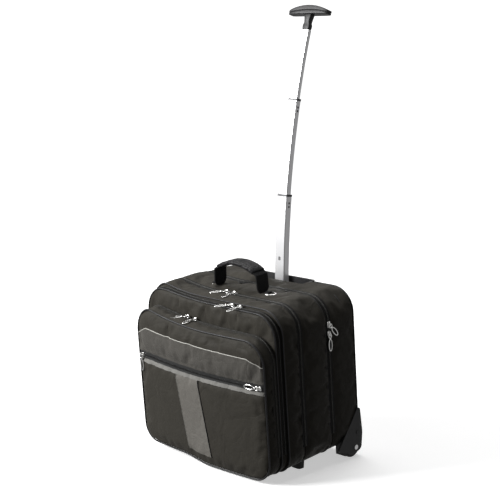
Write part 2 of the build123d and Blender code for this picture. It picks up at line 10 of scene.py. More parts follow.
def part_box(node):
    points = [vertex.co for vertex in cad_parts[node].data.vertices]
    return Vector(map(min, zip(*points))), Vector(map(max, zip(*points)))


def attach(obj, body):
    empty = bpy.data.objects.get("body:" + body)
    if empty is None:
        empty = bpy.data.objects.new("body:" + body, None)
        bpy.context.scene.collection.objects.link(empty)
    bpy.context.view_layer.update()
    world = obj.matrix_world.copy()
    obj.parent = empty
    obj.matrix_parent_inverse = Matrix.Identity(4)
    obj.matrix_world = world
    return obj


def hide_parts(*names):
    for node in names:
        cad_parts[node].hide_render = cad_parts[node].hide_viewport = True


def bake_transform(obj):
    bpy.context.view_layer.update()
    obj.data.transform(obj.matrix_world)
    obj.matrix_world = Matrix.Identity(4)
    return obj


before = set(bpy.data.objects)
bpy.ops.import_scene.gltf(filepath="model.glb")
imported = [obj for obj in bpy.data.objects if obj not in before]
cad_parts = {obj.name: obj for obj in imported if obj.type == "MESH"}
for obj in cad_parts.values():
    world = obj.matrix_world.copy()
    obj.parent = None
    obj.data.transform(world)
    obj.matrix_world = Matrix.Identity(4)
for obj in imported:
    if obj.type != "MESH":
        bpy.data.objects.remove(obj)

bl_info = {
    "name": "Rolling Laptop Case",
    "version": (1, 0, 0),
    "blender": (4, 5, 0),
    "location": "View3D > Sidebar > Laptop Case",
    "description": "Builds the sewn, moulded and metal pieces of a rolling laptop case",
    "category": "Add Mesh",
}

MM = 0.001
LEAN = math.radians(5)
WALL = 3 * MM
DIVIDER_FRONT = 116 * MM
divider_low, divider_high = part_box("main_divider")
STAND = Vector(
    (
        0,
        divider_high.y - (DIVIDER_FRONT + WALL) * math.cos(LEAN),
        divider_low.z - DIVIDER_FRONT * math.sin(LEAN),
    )
)
STANCE = Matrix.Translation(STAND) @ Matrix.Rotation(LEAN, 4, "X")

TOP_RADIUS = 56 * MM
BOTTOM_RADIUS = 45 * MM
POCKET_BULGE = 12 * MM
SEAM = 0.4 * MM
BOX_WIDTH = divider_high.x - divider_low.x
BOX_HEIGHT = 386 * MM
# section: width, height, front, back
SECTIONS = {
    "pocket": (428 * MM, 330 * MM, 0.0, 40 * MM),
    "organizer": (430 * MM, 380 * MM, 40 * MM, 60 * MM),
    "laptop": (BOX_WIDTH, BOX_HEIGHT, 60 * MM, DIVIDER_FRONT),
    "main": (BOX_WIDTH, BOX_HEIGHT, DIVIDER_FRONT, 213 * MM),
    "rear": (BOX_WIDTH, BOX_HEIGHT, 213 * MM, 312 * MM),
}
BODIES = {
    "pocket": "front_pocket",
    "organizer": "organizer",
    "laptop": "laptop_section",
    "main": "main_section",
    "rear": "rear_case",
}
BAND_BOTTOM, BAND_SHOULDER, BAND_TOP, SHOULDER_WIDTH = 235 * MM, 272 * MM, 293 * MM, 42 * MM
STRIPE_CENTRE, STRIPE_WIDTH, STRIPE_BOTTOM, STRIPE_TOP = -12 * MM, 76 * MM, 26 * MM, 210 * MM
STRIPE_SLANT = 16 * MM
SLASH_HEIGHT = 225 * MM
FLAP_BOTTOM, FLAP_TOP = 208.5 * MM, 217 * MM
HANDLE_DEPTH = 155 * MM
GRIP_HALF, GRIP_TOP, GRIP_LOW = 70 * MM, 455 * MM, 433 * MM
SLIDER_MIDDLE, PULL_HEIGHT, LOOP_MIDDLE = 4.6 * MM, 5.5 * MM, 26.4 * MM
GRIP_RADIUS = (GRIP_HALF**2 + (GRIP_TOP - GRIP_LOW) ** 2) / (2 * (GRIP_TOP - GRIP_LOW))
POLE_RADIUS, POLE_RISE = 2.2, 610 * MM
POLE_DEPTH = 295 * MM
WINDOW_RISE, LOWER_HALF = 48 * MM, 9.6 * MM
TRIM_BACK, TRAY_SWELL = 1.2 * MM, 5 * MM
LINING = 2.4 * MM
WIDE_ZIP_TEETH, WIDE_ZIP_END = 7.4 * MM, 50 * MM
TOOTH_SHARE = 0.62
MOUTH_INSET, MOUTH_FRONT, MOUTH_BACK = 3.2 * MM, 262.2 * MM, 307.8 * MM
WELL_FRONT, WELL_TOP = 248.8 * MM, 29.8 * MM
RIBS, RIB_PITCH, RIB_WIDTH = 4, 50 * MM, 7 * MM
CUFF_ACROSS, CUFF_TURN = 55.5 * MM, 0.47
BUTTON_RISE, TOW_HALF = 57.1 * MM, 63.6 * MM
RING_BAR, RING_RADIUS, RING_HEIGHT = 89.5 * MM, 11.6 * MM, 391 * MM
PATCH_LIFT = 0.15 * MM
RIGHT, UP, REAR = Vector((1, 0, 0)), Vector((0, 0, 1)), Vector((0, 1, 0))

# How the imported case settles. Body: lift, start and end of the lift across, full height, all in mm, and power
LIFTS = {
    "front_pocket": (20, 60, -160, 330, 3),
    "organizer": (12, 20, -145, 380, 4),
    "laptop_section": (14, -40, -165, 386, 6),
    "main_section": (14, -40, -165, 386, 6),
    "rear_case": (14, -40, -165, 386, 6),
}
LESS_LIFT, TUCK, HUMP = 4, 11, 13
HUMP_AT = (-50 * MM, 240 * MM)


def ease(value):
    """Smooth step from 0 to 1."""
    value = min(max(value, 0.0), 1.0)
    return value * value * (3 - 2 * value)


def settled(body, c):
    """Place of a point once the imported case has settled: its top corners on the left stand up."""
    if body not in LIFTS:
        return Vector(c)
    high, start, full, height, power = LIFTS[body]
    if body not in ("front_pocket", "organizer"):
        for seam in (DIVIDER_FRONT, SECTIONS["rear"][2]):
            high -= LESS_LIFT * ease((c.y - seam) / 0.1)
    across = min(max((start - c.x / MM) / (start - full), 0.0), 1.0)
    lift = high * across**2 * max(c.z / MM / height, 0.0) ** power
    if body == "front_pocket":
        corner = ease((30 * MM - c.x) / 0.1) * ease((30 * MM - c.y) / 0.03)
        lift += TUCK * corner * max(1 - c.z / 0.2, 0.0) ** 3
    if body == "rear_case" and c.z > 0.2:
        hump = ease(1 - abs(c.y - HUMP_AT[1]) / 0.022) * ease(1 - abs(c.x - HUMP_AT[0]) / 0.1)
        lift += HUMP * hump * (c.z / BOX_HEIGHT) ** 6
    return Vector((c.x, c.y, c.z + lift * MM))


# ---- Modelling helpers --------------------------------------------------------


def only(ob):
    """Selects one object alone and makes it active."""
    if bpy.context.mode != "OBJECT":
        bpy.ops.object.mode_set(mode="OBJECT")
    bpy.ops.object.select_all(action="DESELECT")
    ob.select_set(True)
    bpy.context.view_layer.objects.active = ob
    return ob


def add(kind, name, **settings):
    """Adds a mesh primitive with nothing else selected, and names it."""
    bpy.ops.object.select_all(action="DESELECT")
    getattr(bpy.ops.mesh, f"primitive_{kind}_add")(**settings)
    ob = bpy.context.active_object
    ob.name = ob.data.name = name
    bpy.ops.object.transform_apply(location=True, rotation=True, scale=True)
    return ob


def block(name, low, high):
    """Box between two corners."""
    low, high = Vector(low), Vector(high)
    return add("cube", name, size=1, location=(low + high) / 2, scale=high - low)


def pick(ob, kind, test):
    """Enters edit mode with the vertices, edges or faces chosen by test(centre, normal, element)."""
    only(ob)
    mesh = ob.data
    for group in (mesh.vertices, mesh.edges, mesh.polygons):
        group.foreach_set("select", [False] * len(group))
    modes = {"VERT": (True, False, False), "EDGE": (False, True, False), "FACE": (False, False, True)}
    bpy.context.tool_settings.mesh_select_mode = modes[kind]
    if kind == "VERT":
        for v in mesh.vertices:
            v.select = test(v.co, v.normal, v)
    elif kind == "EDGE":
        for e in mesh.edges:
            a, b = (mesh.vertices[i].co for i in e.vertices)
            e.select = test((a + b) / 2, b - a, e)
    else:
        for f in mesh.polygons:
            f.select = test(f.center, f.normal, f)
    bpy.ops.object.mode_set(mode="EDIT")


def pick_all(ob):
    only(ob)
    bpy.ops.object.mode_set(mode="EDIT")
    bpy.ops.mesh.select_all(action="SELECT")


def leave():
    bpy.ops.object.mode_set(mode="OBJECT")


def modify(ob, kind, **settings):
    """Adds a modifier, sets it and applies it."""
    only(ob)
    modifier = ob.modifiers.new(kind.lower(), kind)
    for key, value in settings.items():
        setattr(modifier, key, value)
    bpy.ops.object.modifier_apply(modifier=modifier.name)
    return ob


def bevel(ob, kind, test, offset, segments, profile=0.5):
    """Rounds the chosen vertices or edges."""
    pick(ob, kind, test)
    affect = "VERTICES" if kind == "VERT" else "EDGES"
    bpy.ops.mesh.bevel(offset=offset, segments=segments, affect=affect, profile=profile)
    leave()


def drop(ob, kind, test):
    """Deletes the chosen vertices or faces."""
    pick(ob, kind, test)
    bpy.ops.mesh.delete(type=kind)
    leave()


def inset(ob, test, *steps):
    """Insets the chosen faces, once for each thickness and depth."""
    pick(ob, "FACE", test)
    for thickness, depth in steps:
        bpy.ops.mesh.inset(thickness=thickness, depth=depth)
    leave()


def face_out(ob):
    """Turns a piece's faces outward."""
    pick_all(ob)
    bpy.ops.mesh.normals_make_consistent(inside=False)
    leave()


def cut(ob, point, normal):
    """Cuts away what lies on the side that the normal points to."""
    pick_all(ob)
    bpy.ops.mesh.bisect(plane_co=point, plane_no=normal, clear_outer=True, threshold=1e-6)
    leave()
    return ob


def copy(ob, name):
    """Copy with a mesh of its own."""
    only(ob)
    bpy.ops.object.duplicate(linked=False)
    twin = bpy.context.active_object
    twin.name = twin.data.name = name
    return twin


def join(first, *others):
    only(first)
    for ob in others:
        ob.select_set(True)
    bpy.context.view_layer.objects.active = first
    bpy.ops.object.join()
    return first


def remove(*obs):
    for ob in obs:
        bpy.data.objects.remove(ob)


def place(ob, matrix):
    """Applies a matrix to a piece, so that its object stays at the origin."""
    only(ob)
    ob.matrix_world = matrix @ ob.matrix_world
    bpy.ops.object.transform_apply(location=True, rotation=True, scale=True)
    return ob


def smooth(ob, angle=38):
    only(ob)
    bpy.ops.object.shade_smooth_by_angle(angle=math.radians(angle))
    return ob


def soften(ob, width, segments=2, angle=35):
    """Rounds every sharp edge a little."""
    return modify(
        ob, "BEVEL", width=width, segments=segments, limit_method="ANGLE", angle_limit=math.radians(angle)
    )


def done(ob, body, slot, *materials, stands_for=(), stance=True, angle=38):
    """Puts a finished piece in its place, with its body, its finish and what it stands for."""
    if stance:
        for v in ob.data.vertices:
            v.co = settled(body, v.co)
        place(ob, STANCE)
    ob.data.materials.clear()
    for material in materials:
        ob.data.materials.append(material)
    smooth(ob, angle)
    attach(ob, body)
    if stands_for:
        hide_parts(*stands_for)
    return ob


def wire(ob, radius, sides=2):
    """Turns a piece's edges into a round cord of that radius."""
    only(ob)
    bpy.ops.object.convert(target="CURVE")
    ob = bpy.context.active_object
    ob.data.bevel_depth = radius
    ob.data.bevel_resolution = sides
    ob.data.use_fill_caps = True
    bpy.ops.object.convert(target="MESH")
    ob = bpy.context.active_object
    pick_all(ob)
    bpy.ops.mesh.remove_doubles(threshold=1e-5)
    bpy.ops.mesh.normals_make_consistent(inside=False)
    leave()
    return ob


def length_of(curve):
    return sum(s.calc_length() for s in curve.data.splines)


def row(name, bead, path, pitch):
    """Beads in a row along the edges of a path piece, which is used up."""
    only(path)
    bpy.ops.object.convert(target="CURVE")
    path = bpy.context.active_object
    path.data.twist_mode = "MINIMUM"
    beads = copy(bead, name)
    modify(beads, "ARRAY", fit_type="FIXED_COUNT", count=max(2, int(length_of(path) / pitch)),
           use_relative_offset=False, use_constant_offset=True, constant_offset_displace=(pitch, 0, 0))
    modify(beads, "CURVE", object=path, deform_axis="POS_X")
    remove(path)
    return beads


def rim(name, width, height, depth, grow=0.0, bulge=0.0, low_end=None):
    """Closed or open loop of edges along a section's outline, with no faces."""
    loop = add("plane", name, size=1, rotation=(math.pi / 2, 0, 0))
    for v in loop.data.vertices:
        v.co = Vector((v.co.x * (width + 2 * grow), depth, height / 2 + v.co.z * (height + 2 * grow)))
    for top, radius in ((False, BOTTOM_RADIUS), (True, TOP_RADIUS)):
        bevel(loop, "VERT", lambda c, n, v: (c.z > height / 2) == top and not 0.02 < c.z < height - 0.02
              and abs(c.x) > width / 2 + grow - 1e-4, radius + grow, 9)
    pick_all(loop)
    bpy.ops.mesh.delete(type="ONLY_FACE")
    leave()
    pick(loop, "EDGE", lambda c, d, e: d.length > 0.04)
    bpy.ops.mesh.subdivide(number_cuts=30)
    leave()
    if bulge:
        for v in loop.data.vertices:
            v.co.y -= bulge * (1 - (2 * v.co.x / width) ** 2)
    if low_end is not None:
        drop(loop, "VERT", lambda c, n, v: c.z < low_end)
    return loop


def band(loop, reach, thickness):
    """Turns a loop of edges into a tape that reaches back by that depth."""
    pick_all(loop)
    bpy.ops.mesh.extrude_edges_move(TRANSFORM_OT_translate={"value": (0, reach, 0)})
    bpy.ops.mesh.select_all(action="SELECT")
    bpy.ops.mesh.normals_make_consistent(inside=False)
    leave()
    return modify(loop, "SOLIDIFY", thickness=thickness, offset=0)


def inflate(ob, hold, cap, pressure, slack):
    """Swells a closed fabric shape under pressure between its held seams, and caps the movement."""
    only(ob)
    held = ob.vertex_groups.new(name="held")
    for v in ob.data.vertices:
        weight = hold(v.co)
        if weight > 0:
            held.add([v.index], weight, "REPLACE")
    rest = [v.co.copy() for v in ob.data.vertices]
    cloth = ob.modifiers.new("cloth", "CLOTH")
    cloth.settings.quality = 4
    cloth.settings.use_pressure = True
    cloth.settings.uniform_pressure_force = pressure
    cloth.settings.vertex_group_mass = held.name
    cloth.settings.shrink_min = -slack
    cloth.settings.bending_stiffness = 2.0
    cloth.settings.effector_weights.gravity = 0
    cloth.collision_settings.use_collision = False
    scene = bpy.context.scene
    for step in range(1, 21):
        scene.frame_set(step)
    bpy.ops.object.modifier_apply(modifier=cloth.name)
    for v, start in zip(ob.data.vertices, rest):
        move = v.co - start
        if move.length > cap:
            v.co = start + move * (cap / move.length)
    ob.vertex_groups.clear()
    scene.frame_set(1)
    return ob


def section_block(name, width, height, front, back, edge, voxel):
    """Closed block of a section with rounded corners, remeshed evenly."""
    ob = block(name, (-width / 2, front, 0), (width / 2, back, height))
    for top, radius in ((False, BOTTOM_RADIUS), (True, TOP_RADIUS)):
        bevel(ob, "EDGE", lambda c, d, e: abs(d.y) > 1e-3 and abs(d.x) < 1e-6 and abs(d.z) < 1e-6
              and (c.z > height / 2) == top and abs(c.x) > width / 2 - 1e-4, radius, 10)
    face = back if edge[0] == "back" else front
    bevel(ob, "EDGE", lambda c, d, e: abs(c.y - face) < 1e-6 and abs(d.y) < 1e-6, edge[1], 3)
    only(ob)
    ob.data.remesh_voxel_size = voxel
    ob.data.use_remesh_fix_poles = False
    bpy.ops.object.voxel_remesh()
    return modify(ob, "SMOOTH", factor=0.5, iterations=4)


def shell(ob):
    """Gives an open skin its wall, with the lining as its second finish."""
    pick_all(ob)
    bpy.ops.mesh.remove_doubles(threshold=1e-5)
    leave()
    ob.data.materials.clear()
    ob.data.materials.append(None)
    ob.data.materials.append(None)
    return modify(ob, "SOLIDIFY", thickness=LINING, offset=-1, use_rim=True, material_offset=1)


def open_back(ob, back):
    """Cuts a section's block open at its back seam and gives the skin its wall."""
    cut(ob, (0, back - TRIM_BACK, 0), (0, 1, 0))
    return shell(ob)


# ---- Finishes -------------------------------------------------------------------


class Nodes:
    """Short way to add and join shader nodes in one tree."""

    def __init__(self, tree):
        self.tree = tree

    def new(self, kind, inputs=None, **settings):
        node = self.tree.nodes.new(f"ShaderNode{kind}")
        for key, value in settings.items():
            setattr(node, key, value)
        for key, value in (inputs or {}).items():
            self.feed(value, node.inputs[key])
        return node

    def feed(self, value, socket):
        if isinstance(value, bpy.types.NodeSocket):
            self.tree.links.new(value, socket)
        else:
            socket.default_value = value

    def math(self, operation, a, b=0.0, c=0.0):
        node = self.new("Math", operation=operation)
        for value, socket in zip((a, b, c), node.inputs):
            self.feed(value, socket)
        return node.outputs[0]

    def mix(self, factor, a, b):
        node = self.new("Mix", data_type="RGBA")
        self.feed(factor, node.inputs[0])
        self.feed(a, node.inputs[6])
        self.feed(b, node.inputs[7])
        return node.outputs[2]

    def spread(self, value, low, high):
        return self.new("MapRange", {0: value, 1: 0.0, 2: 1.0, 3: low, 4: high}).outputs[0]


def group(name, inputs, outputs, build):
    """Shader node group with named sockets, built once."""
    found = bpy.data.node_groups.get(name)
    if found:
        return found
    tree = bpy.data.node_groups.new(name, "ShaderNodeTree")
    for label, kind, value in inputs:
        socket = tree.interface.new_socket(name=label, in_out="INPUT", socket_type=f"NodeSocket{kind}")
        if value is not None:
            socket.default_value = value
    for label in outputs:
        tree.interface.new_socket(name=label, in_out="OUTPUT", socket_type="NodeSocketFloat")
    nodes = Nodes(tree)
    start = tree.nodes.new("NodeGroupInput")
    end = tree.nodes.new("NodeGroupOutput")
    for label, value in build(nodes, start.outputs).items():
        nodes.feed(value, end.inputs[label])
    return tree


def build_weave(n, i):
    """Over-and-under threads that lie along the surface, whichever way it faces."""
    at = n.new("SeparateXYZ", {0: i["Place"]}).outputs
    facing = n.new("SeparateXYZ", {0: i["Facing"]}).outputs
    side = n.math("GREATER_THAN", n.math("ABSOLUTE", facing[0]), 0.7)
    top = n.math("GREATER_THAN", n.math("ABSOLUTE", facing[2]), 0.7)
    u = n.math("MULTIPLY_ADD", side, n.math("SUBTRACT", at[1], at[0]), at[0])
    v = n.math("MULTIPLY_ADD", top, n.math("SUBTRACT", at[1], at[2]), at[2])
    threads = n.math("DIVIDE", math.pi, i["Thread"])
    warp = n.math("ABSOLUTE", n.math("SINE", n.math("MULTIPLY", u, threads)))
    weft = n.math("ABSOLUTE", n.math("SINE", n.math("MULTIPLY", v, threads)))
    even = n.math("MULTIPLY", n.math("SINE", n.math("MULTIPLY", u, n.math("MULTIPLY", threads, 0.5))),
                  n.math("SINE", n.math("MULTIPLY", v, n.math("MULTIPLY", threads, 0.5))))
    over = n.math("GREATER_THAN", even, 0.0)
    height = n.math("MULTIPLY_ADD", over, n.math("SUBTRACT", warp, weft), weft)
    flat = n.new("CombineXYZ", {0: u, 1: v}).outputs[0]
    slub = n.new("TexNoise", {"Vector": flat, "Scale": 260.0, "Detail": 2.0}).outputs[0]
    return {"Height": n.math("MULTIPLY_ADD", slub, 0.35, height), "Shade": slub}


def build_crumple(n, i):
    """Soft creases and pulls that a worn fabric has."""
    fine_scale = n.math("MULTIPLY", i["Scale"], 4.3)
    warped = n.new("TexNoise", {"Vector": i["Place"], "Scale": i["Scale"], "Detail": 3.0, "Distortion": 0.6})
    fine = n.new("TexNoise", {"Vector": i["Place"], "Scale": fine_scale, "Detail": 2.0})
    fold = n.math("ABSOLUTE", n.math("SUBTRACT", warped.outputs[0], 0.5))
    height = n.math("MULTIPLY_ADD", fine.outputs[0], 0.22, n.math("POWER", fold, 0.8))
    return {"Height": height, "Shade": warped.outputs[0]}


def build_grain(n, i):
    """Fine pebbled grain with a few scuffs."""
    cells = n.new("TexVoronoi", {"Vector": i["Place"], "Scale": i["Scale"]}, feature="SMOOTH_F1")
    wide = n.math("DIVIDE", i["Scale"], 22.0)
    scuffs = n.new("TexNoise", {"Vector": i["Place"], "Scale": wide, "Detail": 6.0})
    return {"Height": cells.outputs["Distance"], "Scuff": scuffs.outputs[0]}


def build_dust(n, i):
    """Dust that settles on what faces up, in patches."""
    facing = n.new("SeparateXYZ", {0: i["Facing"]}).outputs[2]
    patches = n.new("TexNoise", {"Vector": i["Place"], "Scale": 14.0, "Detail": 5.0}).outputs[0]
    up = n.math("MAXIMUM", facing, 0.0)
    return {"Mask": n.math("MULTIPLY", n.math("MULTIPLY_ADD", up, 0.8, 0.2), patches)}


def build_ribs(n, i):
    """Straight ribs across a band, with thread marks along them."""
    at = n.new("SeparateXYZ", {0: i["Place"]}).outputs
    turns = n.math("DIVIDE", math.tau, i["Pitch"])
    across = n.math("SINE", n.math("MULTIPLY", at[1], turns))
    along = n.math("SINE", n.math("MULTIPLY", n.math("ADD", at[0], at[2]), turns))
    return {"Height": n.math("MULTIPLY_ADD", along, 0.4, across)}


PLACED = [("Place", "Vector", None)]
FACED = PLACED + [("Facing", "Vector", None)]
GROUPS = {
    "Fabric weave": (FACED + [("Thread", "Float", 0.0008)], ("Height", "Shade"), build_weave),
    "Crumple": (PLACED + [("Scale", "Float", 20.0)], ("Height", "Shade"), build_crumple),
    "Grain": (PLACED + [("Scale", "Float", 900.0)], ("Height", "Scuff"), build_grain),
    "Dust": (FACED, ("Mask",), build_dust),
    "Ribs": (PLACED + [("Pitch", "Float", 0.002)], ("Height",), build_ribs),
}


def use(n, name, **inputs):
    sockets, outputs, build = GROUPS[name]
    node = n.new("Group")
    node.node_tree = group(name, sockets, outputs, build)
    for key, value in inputs.items():
        n.feed(value, node.inputs[key])
    return node.outputs


def shade(colour, factor):
    return (colour[0] * factor, colour[1] * factor, colour[2] * factor, 1.0)


def begin(name, **constants):
    """New material with its shader and with coordinates that follow the case's lean."""
    material = bpy.data.materials.new(name)
    material.use_nodes = True
    tree = material.node_tree
    surface = tree.nodes["Principled BSDF"]
    for key, value in constants.items():
        surface.inputs[key.replace("_", " ")].default_value = value
    n = Nodes(tree)
    coordinates = n.new("TexCoord")
    place_at = n.new("Mapping", {"Vector": coordinates.outputs["Object"], "Rotation": (-LEAN, 0, 0)})
    return material, n, surface, place_at.outputs[0], coordinates.outputs["Normal"]


def end(n, surface, colour, roughness, height, depth):
    n.feed(colour, surface.inputs["Base Color"])
    n.feed(roughness, surface.inputs["Roughness"])
    bump = n.new("Bump", {"Height": height, "Distance": depth, "Strength": 1.0})
    n.feed(bump.outputs[0], surface.inputs["Normal"])


def fabric(name, colour, thread=0.0009, crumple=18.0, crease=0.003, rough=(0.5, 0.7), sheen=0.02, dusty=0.3):
    """Woven cloth with slubs, soft creases, a little dust, and painted shade between its threads."""
    material, n, surface, place_at, facing = begin(
        name, Sheen_Weight=sheen, Sheen_Roughness=0.4, Specular_IOR_Level=0.07
    )
    weave = use(n, "Fabric weave", Place=place_at, Facing=facing, Thread=thread)
    folds = use(n, "Crumple", Place=place_at, Scale=crumple)
    dust = use(n, "Dust", Place=place_at, Facing=facing)
    # Colour: random slub and crease tone, plus painted shade that darkens the low parts of the weave.
    tone = n.math("MULTIPLY_ADD", weave["Height"], 0.4, n.math("MULTIPLY", folds["Shade"], 0.6))
    base = n.mix(tone, shade(colour, 0.72), shade(colour, 1.25))
    base = n.mix(n.math("MULTIPLY", dust["Mask"], 0.12 * dusty), base, (0.32, 0.3, 0.27, 1))
    height = n.math("MULTIPLY_ADD", weave["Height"], 0.02, folds["Height"])
    end(n, surface, base, n.spread(dust["Mask"], *rough), height, crease)
    return material


def moulded(name, colour, rough=(0.3, 0.5), grain=1100.0, relief=0.00012, **constants):
    """Moulded plastic or rubber with a fine spark texture and faint scuffs."""
    material, n, surface, place_at, facing = begin(name, Specular_IOR_Level=0.25, **constants)
    skin = use(n, "Grain", Place=place_at, Scale=grain)
    dust = use(n, "Dust", Place=place_at, Facing=facing)
    base = n.mix(skin["Scuff"], shade(colour, 0.8), shade(colour, 1.2))
    base = n.mix(n.math("MULTIPLY", dust["Mask"], 0.08), base, (0.3, 0.29, 0.27, 1))
    end(n, surface, base, n.spread(skin["Scuff"], *rough), skin["Height"], relief)
    return material


def metal(name, colour, rough=(0.18, 0.32), brushed=(1, 1, 1), relief=0.00002, **constants):
    """Metal whose fine marks may run one way."""
    material, n, surface, place_at, facing = begin(name, Metallic=1.0, **constants)
    drawn = n.new("Mapping", {"Vector": place_at, "Scale": brushed}).outputs[0]
    marks = n.new("TexNoise", {"Vector": drawn, "Scale": 900.0, "Detail": 4.0}).outputs[0]
    smudges = n.new("TexNoise", {"Vector": place_at, "Scale": 60.0, "Detail": 3.0}).outputs[0]
    base = n.mix(smudges, shade(colour, 0.9), shade(colour, 1.08))
    wear = n.math("MULTIPLY_ADD", marks, 0.5, n.math("MULTIPLY", smudges, 0.5))
    end(n, surface, base, n.spread(wear, *rough), marks, relief)
    return material


def tube_with_painted_light(name, colour):
    """Satin tube with a painted dark shade line along its rounded corner and a faint painted glow."""
    # The faint white emission is a painted glow that brightens the tubes.
    material, n, surface, place_at, facing = begin(
        name, Metallic=0.55, Specular_IOR_Level=0.5, Emission_Color=(1, 1, 1, 1), Emission_Strength=0.05
    )
    drawn = n.new("Mapping", {"Vector": place_at, "Scale": (6, 6, 0.25)}).outputs[0]
    marks = n.new("TexNoise", {"Vector": drawn, "Scale": 900.0, "Detail": 4.0}).outputs[0]
    smudges = n.new("TexNoise", {"Vector": place_at, "Scale": 60.0, "Detail": 3.0}).outputs[0]
    # Painted shade: the colour turns dark where the rounded corner faces both the side and the front.
    parts = n.new("SeparateXYZ", {0: facing}).outputs
    side = n.math("MAXIMUM", parts[0], 0.0)
    front = n.math("MAXIMUM", n.math("MULTIPLY", parts[1], -1.0), 0.0)
    edge = n.math("MULTIPLY", side, front)
    corner = n.new("MapRange", {0: edge, 1: 0.3, 2: 0.45, 3: 0.0, 4: 0.8}).outputs[0]
    base = n.mix(smudges, shade(colour, 0.95), shade(colour, 1.03))
    base = n.mix(corner, base, (0.12, 0.12, 0.125, 1))
    end(n, surface, base, n.spread(marks, 0.26, 0.38), marks, 0.00001)
    return material


def webbing(name, colour):
    """Ribbed strap, with painted shade in the grooves between its ribs."""
    material, n, surface, place_at, facing = begin(name, Sheen_Weight=0.04, Specular_IOR_Level=0.1)
    ribs = use(n, "Ribs", Place=place_at, Pitch=0.0022)
    dust = use(n, "Dust", Place=place_at, Facing=facing)
    # Painted shade: the colour follows the rib height and is darker in the grooves.
    base = n.mix(ribs["Height"], shade(colour, 0.7), shade(colour, 1.4))
    end(n, surface, base, n.spread(dust["Mask"], 0.6, 0.85), ribs["Height"], 0.00025)
    return material


def leather(name, colour):
    """Pebbled leather-look cover."""
    material, n, surface, place_at, facing = begin(name, Specular_IOR_Level=0.14)
    skin = use(n, "Grain", Place=place_at, Scale=620.0)
    folds = use(n, "Crumple", Place=place_at, Scale=40.0)
    base = n.mix(n.math("MULTIPLY_ADD", skin["Height"], 0.5, n.math("MULTIPLY", folds["Shade"], 0.5)),
                 shade(colour, 0.7), shade(colour, 1.3))
    height = n.math("MULTIPLY_ADD", folds["Height"], 2.0, n.math("MULTIPLY", skin["Height"], -0.35))
    end(n, surface, base, n.spread(skin["Scuff"], 0.32, 0.55), height, 0.0008)
    return material


FINISH = {}
STRIPE_TONE = 1.75


def make_finishes(tones):
    """Every finish of the case, from the colours in the panel."""
    coated = {"thread": 0.0006, "crumple": 13, "crease": 0.006, "rough": (0.36, 0.5)}
    FINISH.update(
        nylon=fabric("Ballistic nylon", tones.shell),
        lining=fabric("Lining taffeta", (0.055, 0.055, 0.06), thread=0.0005, crumple=30, crease=0.006,
                      rough=(0.4, 0.6)),
        accent=fabric("Coated accent cloth", tones.accent, **coated),
        stripe=fabric("Coated stripe cloth", [STRIPE_TONE * c for c in tones.accent], **coated),
        trim=fabric("Light trim cloth", tones.trim, thread=0.0006, crumple=40, rough=(0.4, 0.6)),
        piping=moulded("Black piping", (0.008, 0.008, 0.009), (0.32, 0.5), 1500),
        # Pale piping whose light colour is partly a painted highlight.
        light_piping=moulded("Pale piping with painted highlight", (0.42, 0.41, 0.38), (0.28, 0.42), 1500),
        tape=fabric("Zip tape", (0.011, 0.0108, 0.0105), thread=0.0007, crumple=60, crease=0.001),
        light_tape=fabric("Light zip tape", (0.034, 0.033, 0.03), thread=0.0007, crumple=60, crease=0.001),
        # Painted highlight: the coil's mid grey stands in for the light the coils catch.
        coil=moulded("Zip coil painted grey as highlight", (0.075, 0.075, 0.07), (0.3, 0.45), 2000),
        dark_coil=moulded("Dark zip coil", (0.02, 0.02, 0.02), (0.25, 0.4), 2000),
        thread=fabric("Sewing thread", (0.14, 0.14, 0.14), thread=0.0003, crumple=80, crease=0.0003),
        webbing=webbing("Ribbed webbing", tones.webbing),
        handle_leather=leather("Handle leather", tones.handle),
        board=moulded("Pebbled board", (0.03, 0.03, 0.03), (0.5, 0.7), 500, 0.0003),
        black_plastic=moulded("Black moulded plastic", (0.014, 0.014, 0.015)),
        grey_plastic=moulded("Grey moulded plastic", (0.024, 0.024, 0.025), (0.36, 0.55)),
        rim_plastic=moulded("Cup plastic", (0.03, 0.03, 0.031), (0.3, 0.5)),
        soft_grip=moulded("Soft grip", (0.03, 0.03, 0.031), (0.36, 0.55), 1400),
        collar=moulded("Collar plastic", (0.16, 0.16, 0.165), (0.3, 0.5)),
        foot_rubber=moulded("Foot rubber", (0.02, 0.02, 0.02), (0.6, 0.8), 700),
        tyre_rubber=moulded("Tyre rubber", (0.018, 0.018, 0.018), (0.5, 0.75), 600, 0.0002),
        hub_plastic=moulded("Hub plastic", (0.045, 0.045, 0.046), (0.35, 0.5)),
        steel=metal("Turned steel", (0.66, 0.66, 0.66), (0.16, 0.3)),
        tube_aluminium=tube_with_painted_light("Satin aluminium with painted shade and glow", tones.tube),
        bright_metal=metal("Bright nickel", (0.66, 0.655, 0.64), (0.14, 0.28)),
        insert=moulded("Pull insert", (0.02, 0.02, 0.021), (0.4, 0.55), 1500),
    )


# ---- Settings that a user may change ---------------------------------------------


def length(name, text, value, low, high):
    return FloatProperty(name=name, description=text, default=value, min=low, max=high, subtype="DISTANCE",
                         unit="LENGTH")


def tone(name, text, *value):
    return FloatVectorProperty(name=name, description=text, default=value, min=0, max=1, subtype="COLOR",
                               size=3)


class LaptopCaseSizes(bpy.types.PropertyGroup):
    """Sizes of the sewn detail."""

    voxel: length("Cloth spacing", "Spacing of the cloth mesh", 0.006, 0.004, 0.01)
    piping: length("Piping radius", "Radius of the piping along the seams", 0.0019, 0.001, 0.004)
    tooth: length("Zip tooth pitch", "Distance between zip teeth", 0.0028, 0.0015, 0.006)
    tape: length("Zip tape width", "Width of each half of a zip's tape", 0.009, 0.004, 0.015)
    swell: length("Swell", "Most that a panel may swell between its seams", 0.006, 0.0, 0.01)
    pressure: FloatProperty(name="Padding pressure", description="Pressure that fills the padded panels",
                            default=4.0, min=0.5, max=10.0)


